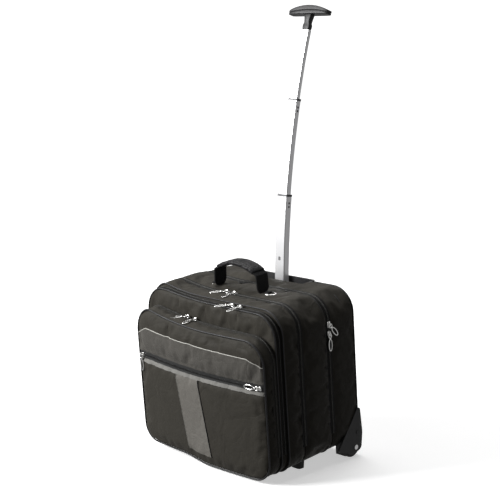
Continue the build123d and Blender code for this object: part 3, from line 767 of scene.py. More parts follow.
class LaptopCaseColours(bpy.types.PropertyGroup):
    """Colours of the finishes."""

    shell: tone("Shell", "Woven shell cloth", 0.033, 0.0305, 0.0255)
    accent: tone("Accent", "Smooth band and stripe", 0.076, 0.072, 0.065)
    trim: tone("Trim", "Strip under the slanted zip", 0.17, 0.166, 0.156)
    webbing: tone("Webbing", "Straps and tabs", 0.005, 0.005, 0.0055)
    handle: tone("Handle", "Cover of the grab handle", 0.015, 0.0145, 0.0152)
    tube: tone("Tubes", "Tow handle tubes", 0.68, 0.68, 0.69)


# ---- Sewn sections -----------------------------------------------------------------


def seam_hold(section, reach=0.011):
    """Weights that hold a section's cloth along its two seams and under it."""
    _, _, front, back = SECTIONS[section]
    return lambda c: 1.0 if c.y < front + reach or c.y > back - reach or c.z < 0.012 else 0.0


def simple_tray(section, name, sizes):
    """Open-backed section whose side wall swells between its two seams."""
    width, height, front, back = SECTIONS[section]
    ob = section_block(name, width, height, front, back, ("front", 2.5 * MM), sizes.voxel)
    inflate(ob, seam_hold(section), min(TRAY_SWELL, sizes.swell), sizes.pressure, 0.03)
    return open_back(ob, back)


def seam_cord(section, name, depth, radius, grow=0.3 * MM, bulge=0.0, low_end=None, opening=None):
    """Piping round a section's outline at one depth, cut out where an opening block meets it."""
    width, height, _, _ = SECTIONS[section]
    cord = wire(rim(name, width, height, depth, grow=grow, bulge=bulge, low_end=low_end), radius)
    if opening:
        modify(cord, "BOOLEAN", operation="DIFFERENCE", object=opening, solver="EXACT")
    return done(cord, BODIES[section], "nylon", FINISH["piping"], angle=60)


def zip_tape(section, name, depth, reach, thickness, finish, grow, low_end):
    """Tape along a section's outline, which reaches back by a width."""
    width, height, _, _ = SECTIONS[section]
    tape = band(rim(f"{name}_tape", width, height, depth, grow=grow, low_end=low_end), reach, thickness)
    return done(tape, BODIES[section], "nylon", FINISH[finish], angle=50)


def wide_zip(section, sizes, start, reach, finish):
    """Zip that runs in one wide tape, which starts in front of a section's back seam."""
    name, back = f"{section}_zip", SECTIONS[section][3]
    zip_tape(section, name, back - start, reach, 0.8 * MM, finish, 0.9 * MM, WIDE_ZIP_END)
    zip_half(section, name, back - WIDE_ZIP_TEETH, -1, sizes, False, 1.2 * MM, WIDE_ZIP_END)


def zip_half(section, name, depth, way, sizes, taped=True, grow=0.5 * MM, low_end=0.045):
    """Half a zip along a section's outline: a tape that reaches one way and a row of teeth."""
    width, height, _, _ = SECTIONS[section]
    if taped:
        zip_tape(section, name, depth, way * sizes.tape, 0.7 * MM, "tape", grow, low_end)
    bead = block("bead", (0, -1.0 * MM, -1.0 * MM), (sizes.tooth * TOOTH_SHARE, 1.0 * MM, 1.0 * MM))
    bead = soften(bead, 0.35 * MM, 1)
    path = rim(f"{name}_path", width, height, depth + way * 0.9 * MM, grow=grow + 0.8 * MM, low_end=low_end)
    teeth = row(f"{name}_teeth", bead, path, sizes.tooth)
    remove(bead)
    # The teeth's coil finish is mid grey as a painted highlight.
    return done(teeth, BODIES[section], "nylon", FINISH["coil"], angle=60)


def stitches(name, path, body, slot):
    """Row of thread stitches along a path piece."""
    thick, run, pitch = 0.35 * MM, 3.0 * MM, 4.6 * MM
    bead = soften(block("stitch", (0, -thick, -thick), (run, thick, thick)), thick * 0.6, 1)
    line = row(name, bead, path, pitch)
    remove(bead)
    return done(line, body, slot, FINISH["thread"], angle=60)


def bulge_at(x, half):
    """How far the pocket's front stands out at a place across."""
    return POCKET_BULGE * (1 - (x / half) ** 2)


class CASE_OT_front_pocket(bpy.types.Operator):
    """Puffed front pocket with its coated band, slanted zip, stripe and piping"""

    bl_idname = "laptop_case.front_pocket"
    bl_label = "Front pocket"

    def execute(self, context):
        sizes = context.scene.laptop_case_sizes
        width, height, front, back = SECTIONS["pocket"]
        half = width / 2
        skin = section_block("pocket_skin", width, height, front, back, ("front", 5 * MM), sizes.voxel)
        for v in skin.data.vertices:
            v.co.y -= max(0.0, 1 - v.co.y / back) * bulge_at(v.co.x, half)

        def rim_distance(c):
            """How far a point of the front is inside the outline."""
            return min(half - abs(c.x), c.z, height - c.z)

        def hold(c):
            if c.y > back - 0.012 or c.z < 0.008:
                return 1.0
            on_front = c.y < front - bulge_at(c.x, half) + 0.006
            if on_front and abs(c.z - SLASH_HEIGHT) < 0.012:
                return 1.0
            return 0.85 if on_front and rim_distance(c) < 0.007 else 0.0

        inflate(skin, hold, sizes.swell, sizes.pressure, 0.025)
        outer = copy(skin, "front_patch")
        drop(outer, "FACE", lambda c, m, f: m.y > -0.55)
        done(open_back(skin, back), "front_pocket", "nylon", FINISH["nylon"], FINISH["lining"],
             stands_for=("pocket_panel", "pocket_gusset"))
        skin.name = skin.data.name = "pocket_shell"

        self.add_band(outer, half)
        self.add_slash(outer, sizes, half)
        self.add_stripe(outer)
        remove(outer)
        seam_cord("pocket", "pocket_front_piping", 1.2 * MM, sizes.piping * 1.15, 0.2 * MM, POCKET_BULGE)
        wide_zip("pocket", sizes, 18 * MM, 16.5 * MM, "light_tape")
        return {"FINISHED"}

    def patch(self, outer, name, planes, thickness, finish, slot="accent"):
        """Piece of trim that lies on the pocket's front, cut out by planes. Returns its bare edges."""
        piece = copy(outer, name)
        for point, normal in planes:
            cut(piece, point, normal)
        for v in piece.data.vertices:
            v.co.y -= PATCH_LIFT
        edge = copy(piece, f"{name}_edge")
        modify(piece, "SOLIDIFY", thickness=thickness, offset=1, use_rim=True)
        face_out(piece)
        done(piece, "front_pocket", slot, FINISH[finish], angle=50)
        return edge

    def strip(self, outer, name, low, high, thickness, finish, slot="accent"):
        """Level strip of trim between two heights."""
        planes = [((0, 0, low), -UP), ((0, 0, high), UP)]
        remove(self.patch(outer, name, planes, thickness, finish, slot))

    def edge_line(self, edge, test, name, radius, finish, thickness):
        """Cord along part of a trim piece's border."""
        pick_all(edge)
        bpy.ops.mesh.region_to_loop()
        leave()
        kept = {i for e in edge.data.edges if e.select for i in e.vertices}
        chosen = {e.index for e in edge.data.edges if e.select and all(
            test(edge.data.vertices[i].co) for i in e.vertices)}
        pick(edge, "EDGE", lambda c, d, e: e.index in chosen)
        bpy.ops.mesh.select_all(action="INVERT")
        bpy.ops.mesh.delete(type="EDGE_FACE")
        leave()
        drop(edge, "VERT", lambda c, m, v: v.index not in kept)
        for v in edge.data.vertices:
            v.co.y -= thickness
        return done(wire(edge, radius), "front_pocket", "accent", FINISH[finish], angle=60)

    def add_band(self, outer, half):
        shoulder = half - SHOULDER_WIDTH
        top = BAND_TOP - WALL
        slant = top - BAND_SHOULDER
        slope = WALL / shoulder
        planes = [((0, 0, BAND_BOTTOM), -UP)]
        for side in (-1, 1):
            planes.append(((side * shoulder, 0, top), (side * slant, 0, SHOULDER_WIDTH)))
            planes.append(((0, 0, BAND_TOP), (side * slope, 0, 1)))
        edge = self.patch(outer, "accent_band", planes, 1.1 * MM, "accent")
        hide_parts("accent_trim")
        # Pale cord on the band's top edge, its colour partly a painted highlight.
        self.edge_line(edge, lambda c: c.z > BAND_SHOULDER - 3 * MM and c.y < 0.02, "accent_band_edge",
                       1.0 * MM, "light_piping", 1.0 * MM)

    def add_slash(self, outer, sizes, half):
        """Slanted zip: its tape, the flap under it, the band's hem over it and its teeth."""
        self.strip(outer, "slash_zip_tape", FLAP_TOP, BAND_BOTTOM, 0.4 * MM, "dark_coil", "nylon")
        self.strip(outer, "slash_flap", FLAP_BOTTOM, FLAP_TOP, 2.0 * MM, "trim")
        self.strip(outer, "slash_band_hem", BAND_BOTTOM - 0.5 * MM, BAND_BOTTOM + 4 * MM, 1.7 * MM, "accent")
        reach = half - 14 * MM
        path = block("slash_path", (-reach, 0, SLASH_HEIGHT), (reach, 1 * MM, SLASH_HEIGHT + 1 * MM))
        drop(path, "VERT", lambda c, m, v: c.y > 0.5 * MM or c.z > SLASH_HEIGHT + 0.5 * MM)
        pick_all(path)
        bpy.ops.mesh.subdivide(number_cuts=60)
        leave()
        for v in path.data.vertices:
            v.co.y = -bulge_at(v.co.x, half) - 1.0 * MM
        bead = block("bead", (0, -0.9 * MM, -2.2 * MM), (sizes.tooth * TOOTH_SHARE, 0.9 * MM, 2.2 * MM))
        bead = soften(bead, 0.35 * MM, 1)
        teeth = row("slash_zip_teeth", bead, path, sizes.tooth)
        remove(bead)
        done(teeth, "front_pocket", "nylon", FINISH["dark_coil"], angle=60)

    def add_stripe(self, outer):
        low, high = STRIPE_CENTRE - STRIPE_WIDTH / 2, STRIPE_CENTRE + STRIPE_WIDTH / 2
        run = STRIPE_TOP - STRIPE_BOTTOM
        middle = (STRIPE_TOP + STRIPE_BOTTOM) / 2
        lean = 2 * STRIPE_SLANT
        planes = [
            ((low, 0, middle), (-run, 0, -lean)), ((high, 0, middle), (run, 0, lean)),
            ((0, 0, STRIPE_BOTTOM), -UP), ((0, 0, STRIPE_TOP), UP),
        ]
        edge = self.patch(outer, "accent_stripe", planes, 1.0 * MM, "stripe")

        def on_side(c, side):
            return abs(c.x - side - (middle - c.z) * lean / run) < 1 * MM

        twin = copy(edge, "accent_stripe_right")
        # Painted highlight: the stripe's left edge, towards the key lamp, gets a light cord.
        self.edge_line(edge, lambda c: on_side(c, low), "accent_stripe_edge", 0.8 * MM, "trim", 0.8 * MM)
        self.edge_line(twin, lambda c: on_side(c, high), "accent_stripe_seam", 0.9 * MM, "piping", 0.8 * MM)


class CASE_OT_organizer(bpy.types.Operator):
    """Thin organizer section behind the front pocket, with a puffed top"""

    bl_idname = "laptop_case.organizer"
    bl_label = "Organizer section"

    def execute(self, context):
        sizes = context.scene.laptop_case_sizes
        width, height, front, back = SECTIONS["organizer"]
        ob = section_block("organizer_shell", width, height, front, back, ("front", 4 * MM), sizes.voxel)
        covered = SECTIONS["pocket"][1] - 0.006

        def hold(c):
            if c.y > back - 0.011 or c.z < covered and c.y < front + 0.005:
                return 1.0
            return 0.8 if c.z > height - 0.005 else 0.0

        inflate(ob, hold, sizes.swell, sizes.pressure, 0.03)
        done(open_back(ob, back), "organizer", "nylon", FINISH["nylon"], FINISH["lining"],
             stands_for=("organizer_panel", "organizer_gusset"))
        seam_cord("organizer", "organizer_front_piping", front + 1.5 * MM, sizes.piping, 0.2 * MM)
        wide_zip("organizer", sizes, 13.5 * MM, 12.5 * MM, "tape")
        return {"FINISHED"}


class CASE_OT_laptop_section(bpy.types.Operator):
    """Padded laptop section with its half of the zip"""

    bl_idname = "laptop_case.laptop_section"
    bl_label = "Laptop section"

    def execute(self, context):
        sizes = context.scene.laptop_case_sizes
        _, _, front, back = SECTIONS["laptop"]
        ob = simple_tray("laptop", "laptop_shell", sizes)
        done(ob, "laptop_section", "nylon", FINISH["nylon"], FINISH["lining"],
             stands_for=("laptop_panel", "laptop_gusset"))
        seam_cord("laptop", "laptop_front_piping", front + 1.6 * MM, sizes.piping)
        zip_half("laptop", "laptop_zip_front", back - SEAM / 2, -1, sizes)
        return {"FINISHED"}


class CASE_OT_main_section(bpy.types.Operator):
    """Main section with its divider, tapes and piping"""

    bl_idname = "laptop_case.main_section"
    bl_label = "Main section"

    def execute(self, context):
        sizes = context.scene.laptop_case_sizes
        _, _, front, back = SECTIONS["main"]
        ob = simple_tray("main", "main_shell", sizes)
        done(ob, "main_section", "nylon", FINISH["nylon"], FINISH["lining"],
             stands_for=("main_divider", "main_gusset"))
        zip_half("main", "laptop_zip_back", front + SEAM / 2, 1, sizes)
        zip_half("main", "main_zip_front", back - SEAM / 2, -1, sizes)
        seam_cord("main", "main_back_piping", back - 12.5 * MM, sizes.piping * 0.8, 0.6 * MM)
        return {"FINISHED"}


class CASE_OT_rear_section(bpy.types.Operator):
    """Rear section, cut out for the wheels and for the cup of the tow handle"""

    bl_idname = "laptop_case.rear_section"
    bl_label = "Rear section"

    def execute(self, context):
        sizes = context.scene.laptop_case_sizes
        width, height, front, back = SECTIONS["rear"]
        ob = section_block("rear_shell", width, height, front, back, ("back", 7 * MM), sizes.voxel)
        inflate(ob, seam_hold("rear", 0.012), 4 * MM, sizes.pressure, 0.02)
        cut(ob, (0, front + TRIM_BACK, 0), (0, -1, 0))
        shell(ob)
        tool = self.openings(width, height, back)
        modify(ob, "BOOLEAN", operation="DIFFERENCE", object=tool, solver="EXACT")
        done(ob, "rear_case", "nylon", FINISH["nylon"], FINISH["lining"],
             stands_for=("rear_panel", "rear_gusset"))
        seam_cord("rear", "rear_back_piping", back - 9 * MM, sizes.piping, low_end=34 * MM, opening=tool)
        remove(tool)
        zip_half("rear", "main_zip_back", front + SEAM / 2, 1, sizes)
        self.add_back(back)
        return {"FINISHED"}

    def openings(self, width, height, back):
        """Blocks that cut out the cup's mouth and the corners where the wheel housings sit."""
        low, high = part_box("trolley_cup")
        tool = block("tool", (low.x + MOUTH_INSET, MOUTH_FRONT, height - 0.03),
                     (high.x - MOUTH_INSET, MOUTH_BACK, height + 0.03))
        for name in ("wheel_housing_left", "wheel_housing_right"):
            low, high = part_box(name)
            inner = min(abs(low.x), abs(high.x)) - SEAM
            side = 1 if high.x > 0 else -1
            a, b = sorted((side * inner, side * width))
            join(tool, block("well", (a, WELL_FRONT, -0.05), (b, back + 0.05, WELL_TOP)))
        return tool

    def add_back(self, back):
        """Sewn panel and ribs on the back."""
        panel = block("back_scuff_panel", (-0.12, back - 0.5 * MM, 0.02), (0.12, back + 2 * MM, 0.3))
        bevel(panel, "EDGE", lambda c, d, e: abs(d.y) > 1e-3, 18 * MM, 6)
        inset(panel, lambda c, m, f: m.y > 0.9, (6 * MM, 0), (1.5 * MM, -1.2 * MM))
        done(soften(panel, 0.8 * MM), "rear_case", "grey_plastic", FINISH["black_plastic"])
        for index in range(RIBS):
            across = (index - (RIBS - 1) / 2) * RIB_PITCH
            low = (across - RIB_WIDTH / 2, back, 40 * MM)
            rib = block(f"back_rib_{index + 1}", low, (across + RIB_WIDTH / 2, back + 4 * MM, 280 * MM))
            pick(rib, "FACE", lambda c, m, f: m.y > 0.9)
            bpy.ops.transform.resize(value=(0.5, 1, 0.97))
            leave()
            done(soften(rib, 1.2 * MM, 3), "rear_case", "grey_plastic", FINISH["black_plastic"])


class CASE_OT_hinge_tapes(bpy.types.Operator):
    """Cloth hinge tapes under the seams"""

    bl_idname = "laptop_case.hinge_tapes"
    bl_label = "Hinge tapes"

    def execute(self, context):
        for section, behind in (("main", "rear"), ("laptop", "main"), ("organizer", "laptop"),
                                ("pocket", "organizer")):
            width, _, _, seam = SECTIONS[section]
            half = width / 2 - BOTTOM_RADIUS - 4 * MM
            tape = add("grid", f"{section}_hinge_tape", x_subdivisions=24, y_subdivisions=12, size=1)
            for v in tape.data.vertices:
                v.co = Vector((v.co.x * 2 * half, seam + v.co.y * 18 * MM, -0.45 * MM))
            modify(tape, "SOLIDIFY", thickness=0.6 * MM, offset=0)
            place(tape, STANCE)
            tape.data.materials.append(FINISH["tape"])
            smooth(tape)
            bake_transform(tape)
        return {"FINISHED"}


# ---- Handles -----------------------------------------------------------------------


def arch_height(x, lift=0.0):
    """Height of the grab handle's arch over a place across."""
    return GRIP_TOP - GRIP_RADIUS + math.sqrt(max((GRIP_RADIUS + lift) ** 2 - x**2, 0))


class CASE_OT_grab_handle(bpy.types.Operator):
    """Padded grab handle with its stitching and rings"""

    bl_idname = "laptop_case.grab_handle"
    bl_label = "Grab handle"

    def execute(self, context):
        grip = block("grab_handle_grip", (-0.056, -0.0205, -0.0048), (0.056, 0.0205, 0.0048))
        bevel(grip, "EDGE", lambda c, d, e: abs(d.x) > 0.05, 3.6 * MM, 4, 0.6)
        only(grip)
        grip.data.remesh_voxel_size = 0.0022
        bpy.ops.object.voxel_remesh()
        modify(grip, "SMOOTH", factor=0.5, iterations=3)
        inflate(grip, lambda c: 1.0 if abs(c.x) > 0.053 or abs(abs(c.y) - 0.0152) < 0.0013 else 0.0,
                1.6 * MM, 5.0, 0.03)
        for v in grip.data.vertices:
            turn = v.co.x / GRIP_RADIUS
            reach = GRIP_RADIUS + v.co.z
            high = GRIP_TOP - GRIP_RADIUS + reach * math.cos(turn)
            v.co = Vector((reach * math.sin(turn), HANDLE_DEPTH + v.co.y, high))
        done(grip, "grab_handle", "handle_leather", FINISH["handle_leather"], stands_for=("handle_grip",),
             angle=60)
        for side in (-1, 1):
            path = self.arc(f"grip_stitch_path_{side}", 52 * MM, HANDLE_DEPTH + side * 15.2 * MM, 5.2 * MM)
            label = "front" if side < 0 else "back"
            stitches(f"grip_stitches_{label}", path, "grab_handle", "handle_leather")
        self.add_cuffs()
        self.add_rings()
        return {"FINISHED"}

    def arc(self, name, half, depth, lift):
        """Open path along the handle's arch."""
        path = add("grid", name, x_subdivisions=40, y_subdivisions=1, size=1)
        drop(path, "VERT", lambda c, m, v: c.y > 0)
        for v in path.data.vertices:
            x = v.co.x * 2 * half
            v.co = Vector((x, depth, arch_height(x, lift)))
        return path

    def add_cuffs(self):
        """Sewn cuffs where the grip meets the webbing."""
        for side, label in ((-1, "left"), (1, "right")):
            corner = Vector((5, 20.4, 4.8)) * MM
            cuff = block(f"grip_cuff_{label}", -corner, corner)
            bevel(cuff, "EDGE", lambda c, d, e: abs(d.x) > 1e-3, 3.5 * MM, 4)
            soften(cuff, 1.2 * MM, 2)
            middle = (side * CUFF_ACROSS, HANDLE_DEPTH, arch_height(CUFF_ACROSS))
            place(cuff, Matrix.Translation(middle) @ Matrix.Rotation(side * CUFF_TURN, 4, "Y"))
            done(cuff, "grab_handle", "webbing", FINISH["webbing"])

    def add_rings(self):
        """D rings, each with a straight bar in its tab and a bow drawn out sideways."""
        for side, label in ((-1, "left"), (1, "right")):
            ring = add("circle", f"strap_ring_{label}", vertices=48, radius=RING_RADIUS)
            for v in ring.data.vertices:
                v.co.x = max(v.co.x, -1 * MM)
                v.co.x = side * (v.co.x + 1 * MM)
            pick_all(ring)
            bpy.ops.mesh.remove_doubles(threshold=0.4 * MM)
            leave()
            place(ring, Matrix.Translation((side * RING_BAR, HANDLE_DEPTH, RING_HEIGHT)))
            ring = wire(ring, 1.45 * MM, 3)
            ring.name = ring.data.name = f"strap_ring_{label}"
            for v in ring.data.vertices:
                share = (abs(v.co.x) - RING_BAR) / (RING_RADIUS + 1 * MM)
                if share > 0.12:
                    v.co.x = math.copysign(RING_BAR + share * 21 * MM, v.co.x)
            done(ring, f"{label}_ring", "bright_metal", FINISH["bright_metal"],
                 stands_for=(f"ring_{label}",), angle=60)


class CASE_OT_tow_grip(bpy.types.Operator):
    """Rounded grip of the tow handle with its core, collar lugs, an opening for the button and a latch window
    """

    bl_idname = "laptop_case.tow_grip"
    bl_label = "Tow handle grip"

    def execute(self, context):
        button_low, button_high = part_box("release_button")
        tilt = POLE_RISE / POLE_RADIUS
        up = Vector((0, math.sin(tilt), math.cos(tilt)))
        middle = Vector((0, (button_low.y + button_high.y) / 2, (button_low.z + button_high.z) / 2))
        at = Matrix.Translation(middle - up * BUTTON_RISE) @ Matrix.Rotation(-tilt, 4, "X")
        # Height and end drop of the upper face, the same of the lower one, half depth, softness of edges
        pad = self.layer("tow_grip_pad", 60, 12.6, 48, 6, 13.2, 3.4)
        self.cut_slot(pad)
        core = self.layer("tow_grip_core", 48.2, 6.2, 38, 0.5, 12.4, 3)
        self.add_neck(core)
        for part, finish, node in ((pad, "soft_grip", "grip_pad"), (core, "black_plastic", "grip_core")):
            place(part, at)
            done(part, "pole_upper", finish, FINISH[finish], stands_for=(node,), stance=False)
        self.add_window()
        return {"FINISHED"}

    def add_window(self):
        """Small latch window on the front of the lowest tube."""
        window = block("lock_window", (-3.5 * MM, -0.3 * MM, -4.5 * MM), (3.5 * MM, 0.3 * MM, 4.5 * MM))
        bevel(window, "EDGE", lambda c, d, e: abs(d.y) > 1e-4, 1.6 * MM, 4)
        inset(window, lambda c, m, f: m.y < -0.9, (0.9 * MM, -0.2 * MM))
        turn = WINDOW_RISE / POLE_RADIUS
        foot = STANCE @ Vector((0, POLE_DEPTH, BOX_HEIGHT))
        out = Vector((0, -math.cos(turn), math.sin(turn))) * LOWER_HALF
        middle = foot + Vector((0, POLE_RADIUS * (1 - math.cos(turn)), POLE_RADIUS * math.sin(turn))) + out
        place(window, Matrix.Translation(middle) @ Matrix.Rotation(-turn, 4, "X"))
        done(window, "pole_lower", "black_plastic", FINISH["collar"], stance=False)

    def layer(self, name, top, top_drop, low, low_drop, half_depth, soft):
        """One layer of the grip, whose two faces drop towards its rounded ends. Sizes are in mm."""
        part = add("grid", name, x_subdivisions=32, y_subdivisions=8, size=1)
        pick_all(part)
        bpy.ops.mesh.extrude_region_move(TRANSFORM_OT_translate={"value": (0, 0, 1)})
        bpy.ops.mesh.select_all(action="SELECT")
        bpy.ops.mesh.normals_make_consistent(inside=False)
        leave()
        for v in part.data.vertices:
            x = v.co.x * 2
            end_width = math.sqrt(max(1 - abs(x) ** 5, 0.0)) * 0.42 + 0.58
            upper, lower = top - top_drop * x * x, low - low_drop * x * x
            height = lower + (upper - lower) * v.co.z
            v.co = Vector((x * TOW_HALF, v.co.y * 2 * half_depth * end_width * MM, height * MM))
        return soften(part, soft * MM, 4, 50)

    def cut_slot(self, part):
        """Opening for the release button."""
        slot = block("slot", (-13.3 * MM, -5.8 * MM, 40 * MM), (13.3 * MM, 5.8 * MM, 70 * MM))
        bevel(slot, "EDGE", lambda c, d, e: abs(d.z) > 0.01, 5.6 * MM, 8)
        modify(part, "BOOLEAN", operation="DIFFERENCE", object=slot, solver="EXACT")
        remove(slot)

    def add_neck(self, part):
        """Tapered neck with side lugs, down to the tube."""
        neck = block("neck", (-8 * MM, -6.5 * MM, 0), (8 * MM, 6.5 * MM, 40 * MM))
        pick_all(neck)
        for height in (6, 12, 17, 26):
            bpy.ops.mesh.select_all(action="SELECT")
            bpy.ops.mesh.bisect(plane_co=(0, 0, height * MM), plane_no=(0, 0, 1))
        leave()
        for v in neck.data.vertices:
            step = v.co.z / MM
            wide = 1.32 if 5 < step < 14 else 1.12 if step < 5 else 1.0 + max(0, step - 24) * 0.03
            v.co.x *= wide
            v.co.y *= 1.0 if step < 20 else 1.15
        soften(neck, 1.6 * MM, 3, 30)
        join(part, neck)


# ---- Zip sliders and pulls ------------------------------------------------------------

# Slider: outward, way its pull lies, way the zip runs, droop in degrees, whether the pull has a dark
# insert. Ways are in the case's own axes.
# The pocket's bulge is an arc of 1914 mm radius, and the slash zip's ends are 200 mm to each side
BULGE_SIN = 200 / 1914
BULGE_COS = math.sqrt(1 - BULGE_SIN**2)
SLANT = math.radians(40)
SLIDERS = {
    "main_upper": (RIGHT, REAR * math.sin(SLANT) - UP * math.cos(SLANT), UP, 0, False),
    "main_lower": (RIGHT, -UP, UP, 0, True),
    "slash_left": (-RIGHT * BULGE_SIN - REAR * BULGE_COS, -UP, RIGHT, 0, False),
    "slash_right": (RIGHT * BULGE_SIN - REAR * BULGE_COS, -RIGHT * BULGE_COS - REAR * BULGE_SIN, RIGHT,
                    0, False),
}
TURNED, DROOP = (-REAR - RIGHT).normalized(), 3
for zip_name in ("laptop", "organizer", "pocket"):
    SLIDERS[f"{zip_name}_left"] = (UP, TURNED, RIGHT, DROOP, False)
    SLIDERS[f"{zip_name}_right"] = (UP, -REAR, RIGHT, DROOP, False)

# Zip: body whose skin its sliders run on
ZIP_BODIES = {
    "main": "rear_case",
    "slash": "front_pocket",
    "laptop": "main_section",
    "organizer": "organizer",
    "pocket": "front_pocket",
}


class CASE_OT_zip_sliders(bpy.types.Operator):
    """Bright sliders and two-loop pulls of every zip"""

    bl_idname = "laptop_case.zip_sliders"
    bl_label = "Zip sliders and pulls"

    def execute(self, context):
        slider, pull, insert = self.slider(), self.pull(), self.insert()
        for name, (outward, way, run, droop, has_insert) in SLIDERS.items():
            low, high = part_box(f"{name}_slider")
            outward, way, run = ((STANCE.to_3x3() @ axis).normalized() for axis in (outward, way, run))
            origin = STANCE.inverted() @ ((low + high) / 2 - outward * SLIDER_MIDDLE)
            origin = STANCE @ settled(ZIP_BODIES[name.split("_")[0]], origin)
            body = copy(slider, f"{name}_zip_slider")
            place(body, self.axes(origin, outward, run))
            done(body, f"{name}_slider", "bright_metal", FINISH["bright_metal"],
                 stands_for=(f"{name}_slider",), stance=False)
            tab = copy(pull, f"{name}_zip_pull")
            level, sunk = math.cos(math.radians(droop)), math.sin(math.radians(droop))
            lie = way * level - outward * sunk
            at = self.axes(origin + outward * PULL_HEIGHT, outward * level + way * sunk, lie)
            place(tab, at)
            done(tab, f"{name}_pull", "bright_metal", FINISH["bright_metal"],
                 stands_for=(f"{name}_pull",), stance=False, angle=60)
            if has_insert:
                pad = copy(insert, f"{name}_pull_insert")
                place(pad, at)
                done(pad, f"{name}_pull", "bright_metal", FINISH["insert"], stance=False)
        remove(slider, pull, insert)
        return {"FINISHED"}

    def axes(self, origin, outward, x):
        """Matrix whose z axis points outward and whose x axis runs along the piece."""
        y = outward.cross(x).normalized()
        return Matrix((
            (x.x, y.x, outward.x, origin.x),
            (x.y, y.y, outward.y, origin.y),
            (x.z, y.z, outward.z, origin.z),
            (0, 0, 0, 1),
        ))

    def slider(self):
        body = block("slider", (-7.1 * MM, -5.1 * MM, 0.3 * MM), (7.1 * MM, 5.1 * MM, 3.4 * MM))
        inset(body, lambda c, m, f: m.z > 0.9, (1.3 * MM, 0.5 * MM))
        for v in body.data.vertices:
            v.co.y *= 1.0 if v.co.x > 0 else 0.74
        soften(body, 0.7 * MM, 3)
        foot = 3.4 * MM
        bridge = add("torus", "bridge", major_radius=5.0 * MM, minor_radius=1.05 * MM, major_segments=24,
                     minor_segments=8, rotation=(math.pi / 2, 0, 0), location=(0, 0, foot))
        for v in bridge.data.vertices:
            v.co = Vector((v.co.x * 1.08, v.co.y * 1.25, foot + (v.co.z - foot) * 0.9))
        return join(body, bridge)

    def loop(self, name, centre, long, wide, radius):
        """Oval wire loop along the pull."""
        ring = add("circle", name, vertices=32, radius=1)
        for v in ring.data.vertices:
            v.co = Vector((centre + v.co.x * long, v.co.y * wide, 0))
        return wire(ring, radius, 2)

    def pull(self):
        eye = self.loop("eye", 4.7 * MM, 4.9 * MM, 4.4 * MM, 1.3 * MM)
        loop = self.loop("loop", LOOP_MIDDLE, 13.9 * MM, 5.1 * MM, 1.35 * MM)
        waist = block("waist", (8.9 * MM, -2.6 * MM, -1.3 * MM), (13.9 * MM, 2.6 * MM, 1.3 * MM))
        soften(waist, 0.8 * MM, 2)
        return join(eye, loop, waist)

    def insert(self):
        pad = add("cylinder", "insert", vertices=28, radius=1, depth=1)
        for v in pad.data.vertices:
            v.co = Vector((LOOP_MIDDLE + v.co.x * 13.0 * MM, v.co.y * 4.4 * MM, v.co.z * 1.9 * MM))
        return soften(pad, 0.4 * MM, 2)


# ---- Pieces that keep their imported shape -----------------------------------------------

KEPT = {
    "webbing": ("handle_webbing", "webbing_tabs"),
    "board": ("back_board", "rear_base_board", "main_base_board"),
    "black_plastic": ("release_button", "channel_foot", "housing_rivets"),
    "collar": ("lower_collar", "middle_collar"),
    "rim_plastic": ("trolley_cup",),
    "grey_plastic": ("wheel_housing_left", "wheel_housing_right"),
    "foot_rubber": ("feet",),
    "tyre_rubber": ("left_tyre", "right_tyre"),
    "hub_plastic": ("left_hub", "right_hub"),
    "steel": ("wheel_axles", "release_rod"),
    "tube_aluminium": ("pole_channel", "lower_tube", "middle_tube", "upper_tube"),
}


class CASE_OT_packed_finishes(bpy.types.Operator):
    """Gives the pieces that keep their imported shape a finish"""

    bl_idname = "laptop_case.packed_finishes"
    bl_label = "Moulded and metal finishes"

    def execute(self, context):
        for finish, names in KEPT.items():
            for name in names:
                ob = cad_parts[name]
                ob.data.materials.clear()
                ob.data.materials.append(FINISH[finish])
        return {"FINISHED"}


# Strength of the white surroundings: as light, in reflections and as the camera sees them
AMBIENT, GLOSS_AMBIENT, SEEN = 0.04, 0.45, 1.2
# name, place, size in metres, power in watts
LAMPS = (
    ("key", (-2.0, -3.0, 1.9), 1.6, 270),
    ("top", (-0.4, 0.4, 2.8), 1.8, 46),
    ("fill", (2.6, -1.2, 1.4), 1.8, 3),
)

LAMP_AIM = Vector((0, 0, 0.3))
CAMERA_TURN, CAMERA_PITCH, CAMERA_DISTANCE = math.radians(45), math.radians(9.6), 2.885
CAMERA_TARGET = Vector((-0.005, -0.0123, 0.4985))


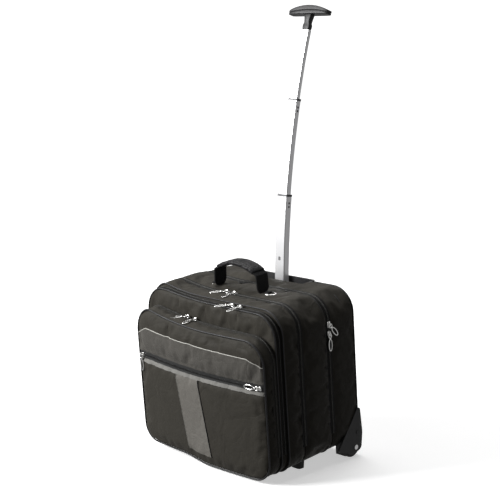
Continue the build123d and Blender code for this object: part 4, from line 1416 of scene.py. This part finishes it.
class CASE_OT_stage(bpy.types.Operator):
    """Pale floor, soft lights and the camera"""

    bl_idname = "laptop_case.stage"
    bl_label = "Stage"

    def execute(self, context):
        scene = context.scene
        scene.view_settings.view_transform = "Standard"
        floor = add("plane", "floor", size=80)
        material, n, surface, place_at, _ = begin(
            "Pale floor", Roughness=0.8, Specular_IOR_Level=0.1, Emission_Color=(1, 1, 1, 1)
        )
        away = n.new("VectorMath", {0: place_at}, operation="LENGTH").outputs["Value"]
        glow = n.new("MapRange", {0: away, 1: 0.4, 2: 3.0, 3: 0.5, 4: 1.0}).outputs[0]
        n.feed(glow, surface.inputs["Emission Strength"])
        mottle = n.new("TexNoise", {"Vector": place_at, "Scale": 1.5, "Detail": 2.0}).outputs[0]
        n.feed(n.mix(mottle, (0.88, 0.88, 0.88, 1), (0.9, 0.9, 0.9, 1)), surface.inputs["Base Color"])
        floor.data.materials.append(material)
        floor.visible_diffuse = floor.visible_glossy = False
        self.light_world(scene)
        for name, at, size, power in LAMPS:
            data = bpy.data.lights.new(name, "AREA")
            data.energy, data.size = power, size
            lamp = bpy.data.objects.new(name, data)
            scene.collection.objects.link(lamp)
            lamp.location = at
            aim = LAMP_AIM - lamp.location
            lamp.rotation_euler = aim.to_track_quat("-Z", "Y").to_euler()
        data = bpy.data.cameras.new("camera")
        data.lens, data.sensor_width = 86.4, 36
        data.clip_end = 60
        camera = bpy.data.objects.new("camera", data)
        scene.collection.objects.link(camera)
        turn = Matrix.Rotation(CAMERA_TURN, 4, "Z") @ Matrix.Rotation(-CAMERA_PITCH, 4, "X")
        away = turn @ -REAR
        camera.location = CAMERA_TARGET + away * CAMERA_DISTANCE
        camera.rotation_euler = (-away).to_track_quat("-Z", "Y").to_euler()
        scene.camera = camera
        return {"FINISHED"}

    def light_world(self, scene):
        """White surroundings that light the case only softly."""
        world = bpy.data.worlds.new("Studio")
        scene.world = world
        world.use_nodes = True
        tree = world.node_tree
        soft = tree.nodes["Background"]
        soft.inputs["Color"].default_value = (1, 1, 1, 1)
        path = tree.nodes.new("ShaderNodeLightPath").outputs
        n = Nodes(tree)
        strength = n.math("MULTIPLY_ADD", path["Is Glossy Ray"], GLOSS_AMBIENT - AMBIENT, AMBIENT)
        strength = n.math("MULTIPLY_ADD", path["Is Camera Ray"], SEEN - AMBIENT, strength)
        n.feed(strength, soft.inputs["Strength"])


OPERATORS = (
    CASE_OT_packed_finishes,
    CASE_OT_front_pocket,
    CASE_OT_organizer,
    CASE_OT_laptop_section,
    CASE_OT_main_section,
    CASE_OT_rear_section,
    CASE_OT_hinge_tapes,
    CASE_OT_grab_handle,
    CASE_OT_tow_grip,
    CASE_OT_zip_sliders,
    CASE_OT_stage,
)


class CASE_PT_panel(bpy.types.Panel):
    """Lists the case's pieces, sizes and colours"""

    bl_idname = "CASE_PT_panel"
    bl_label = "Laptop Case"
    bl_space_type = "VIEW_3D"
    bl_region_type = "UI"
    bl_category = "Laptop Case"

    def draw(self, context):
        for settings in (context.scene.laptop_case_sizes, context.scene.laptop_case_colours):
            box = self.layout.box()
            for key in settings.__annotations__:
                box.prop(settings, key)
        for operator in OPERATORS:
            self.layout.operator(operator.bl_idname)


CLASSES = (LaptopCaseSizes, LaptopCaseColours, *OPERATORS, CASE_PT_panel)


def register():
    for cls in CLASSES:
        bpy.utils.register_class(cls)
    bpy.types.Scene.laptop_case_sizes = PointerProperty(type=LaptopCaseSizes)
    bpy.types.Scene.laptop_case_colours = PointerProperty(type=LaptopCaseColours)


def unregister():
    del bpy.types.Scene.laptop_case_colours
    del bpy.types.Scene.laptop_case_sizes
    for cls in reversed(CLASSES):
        bpy.utils.unregister_class(cls)


def main():
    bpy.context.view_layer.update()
    register()
    make_finishes(bpy.context.scene.laptop_case_colours)
    for operator in OPERATORS:
        group_name, operator_name = operator.bl_idname.split(".")
        getattr(getattr(bpy.ops, group_name), operator_name)()


if __name__ == "__main__":
    main()
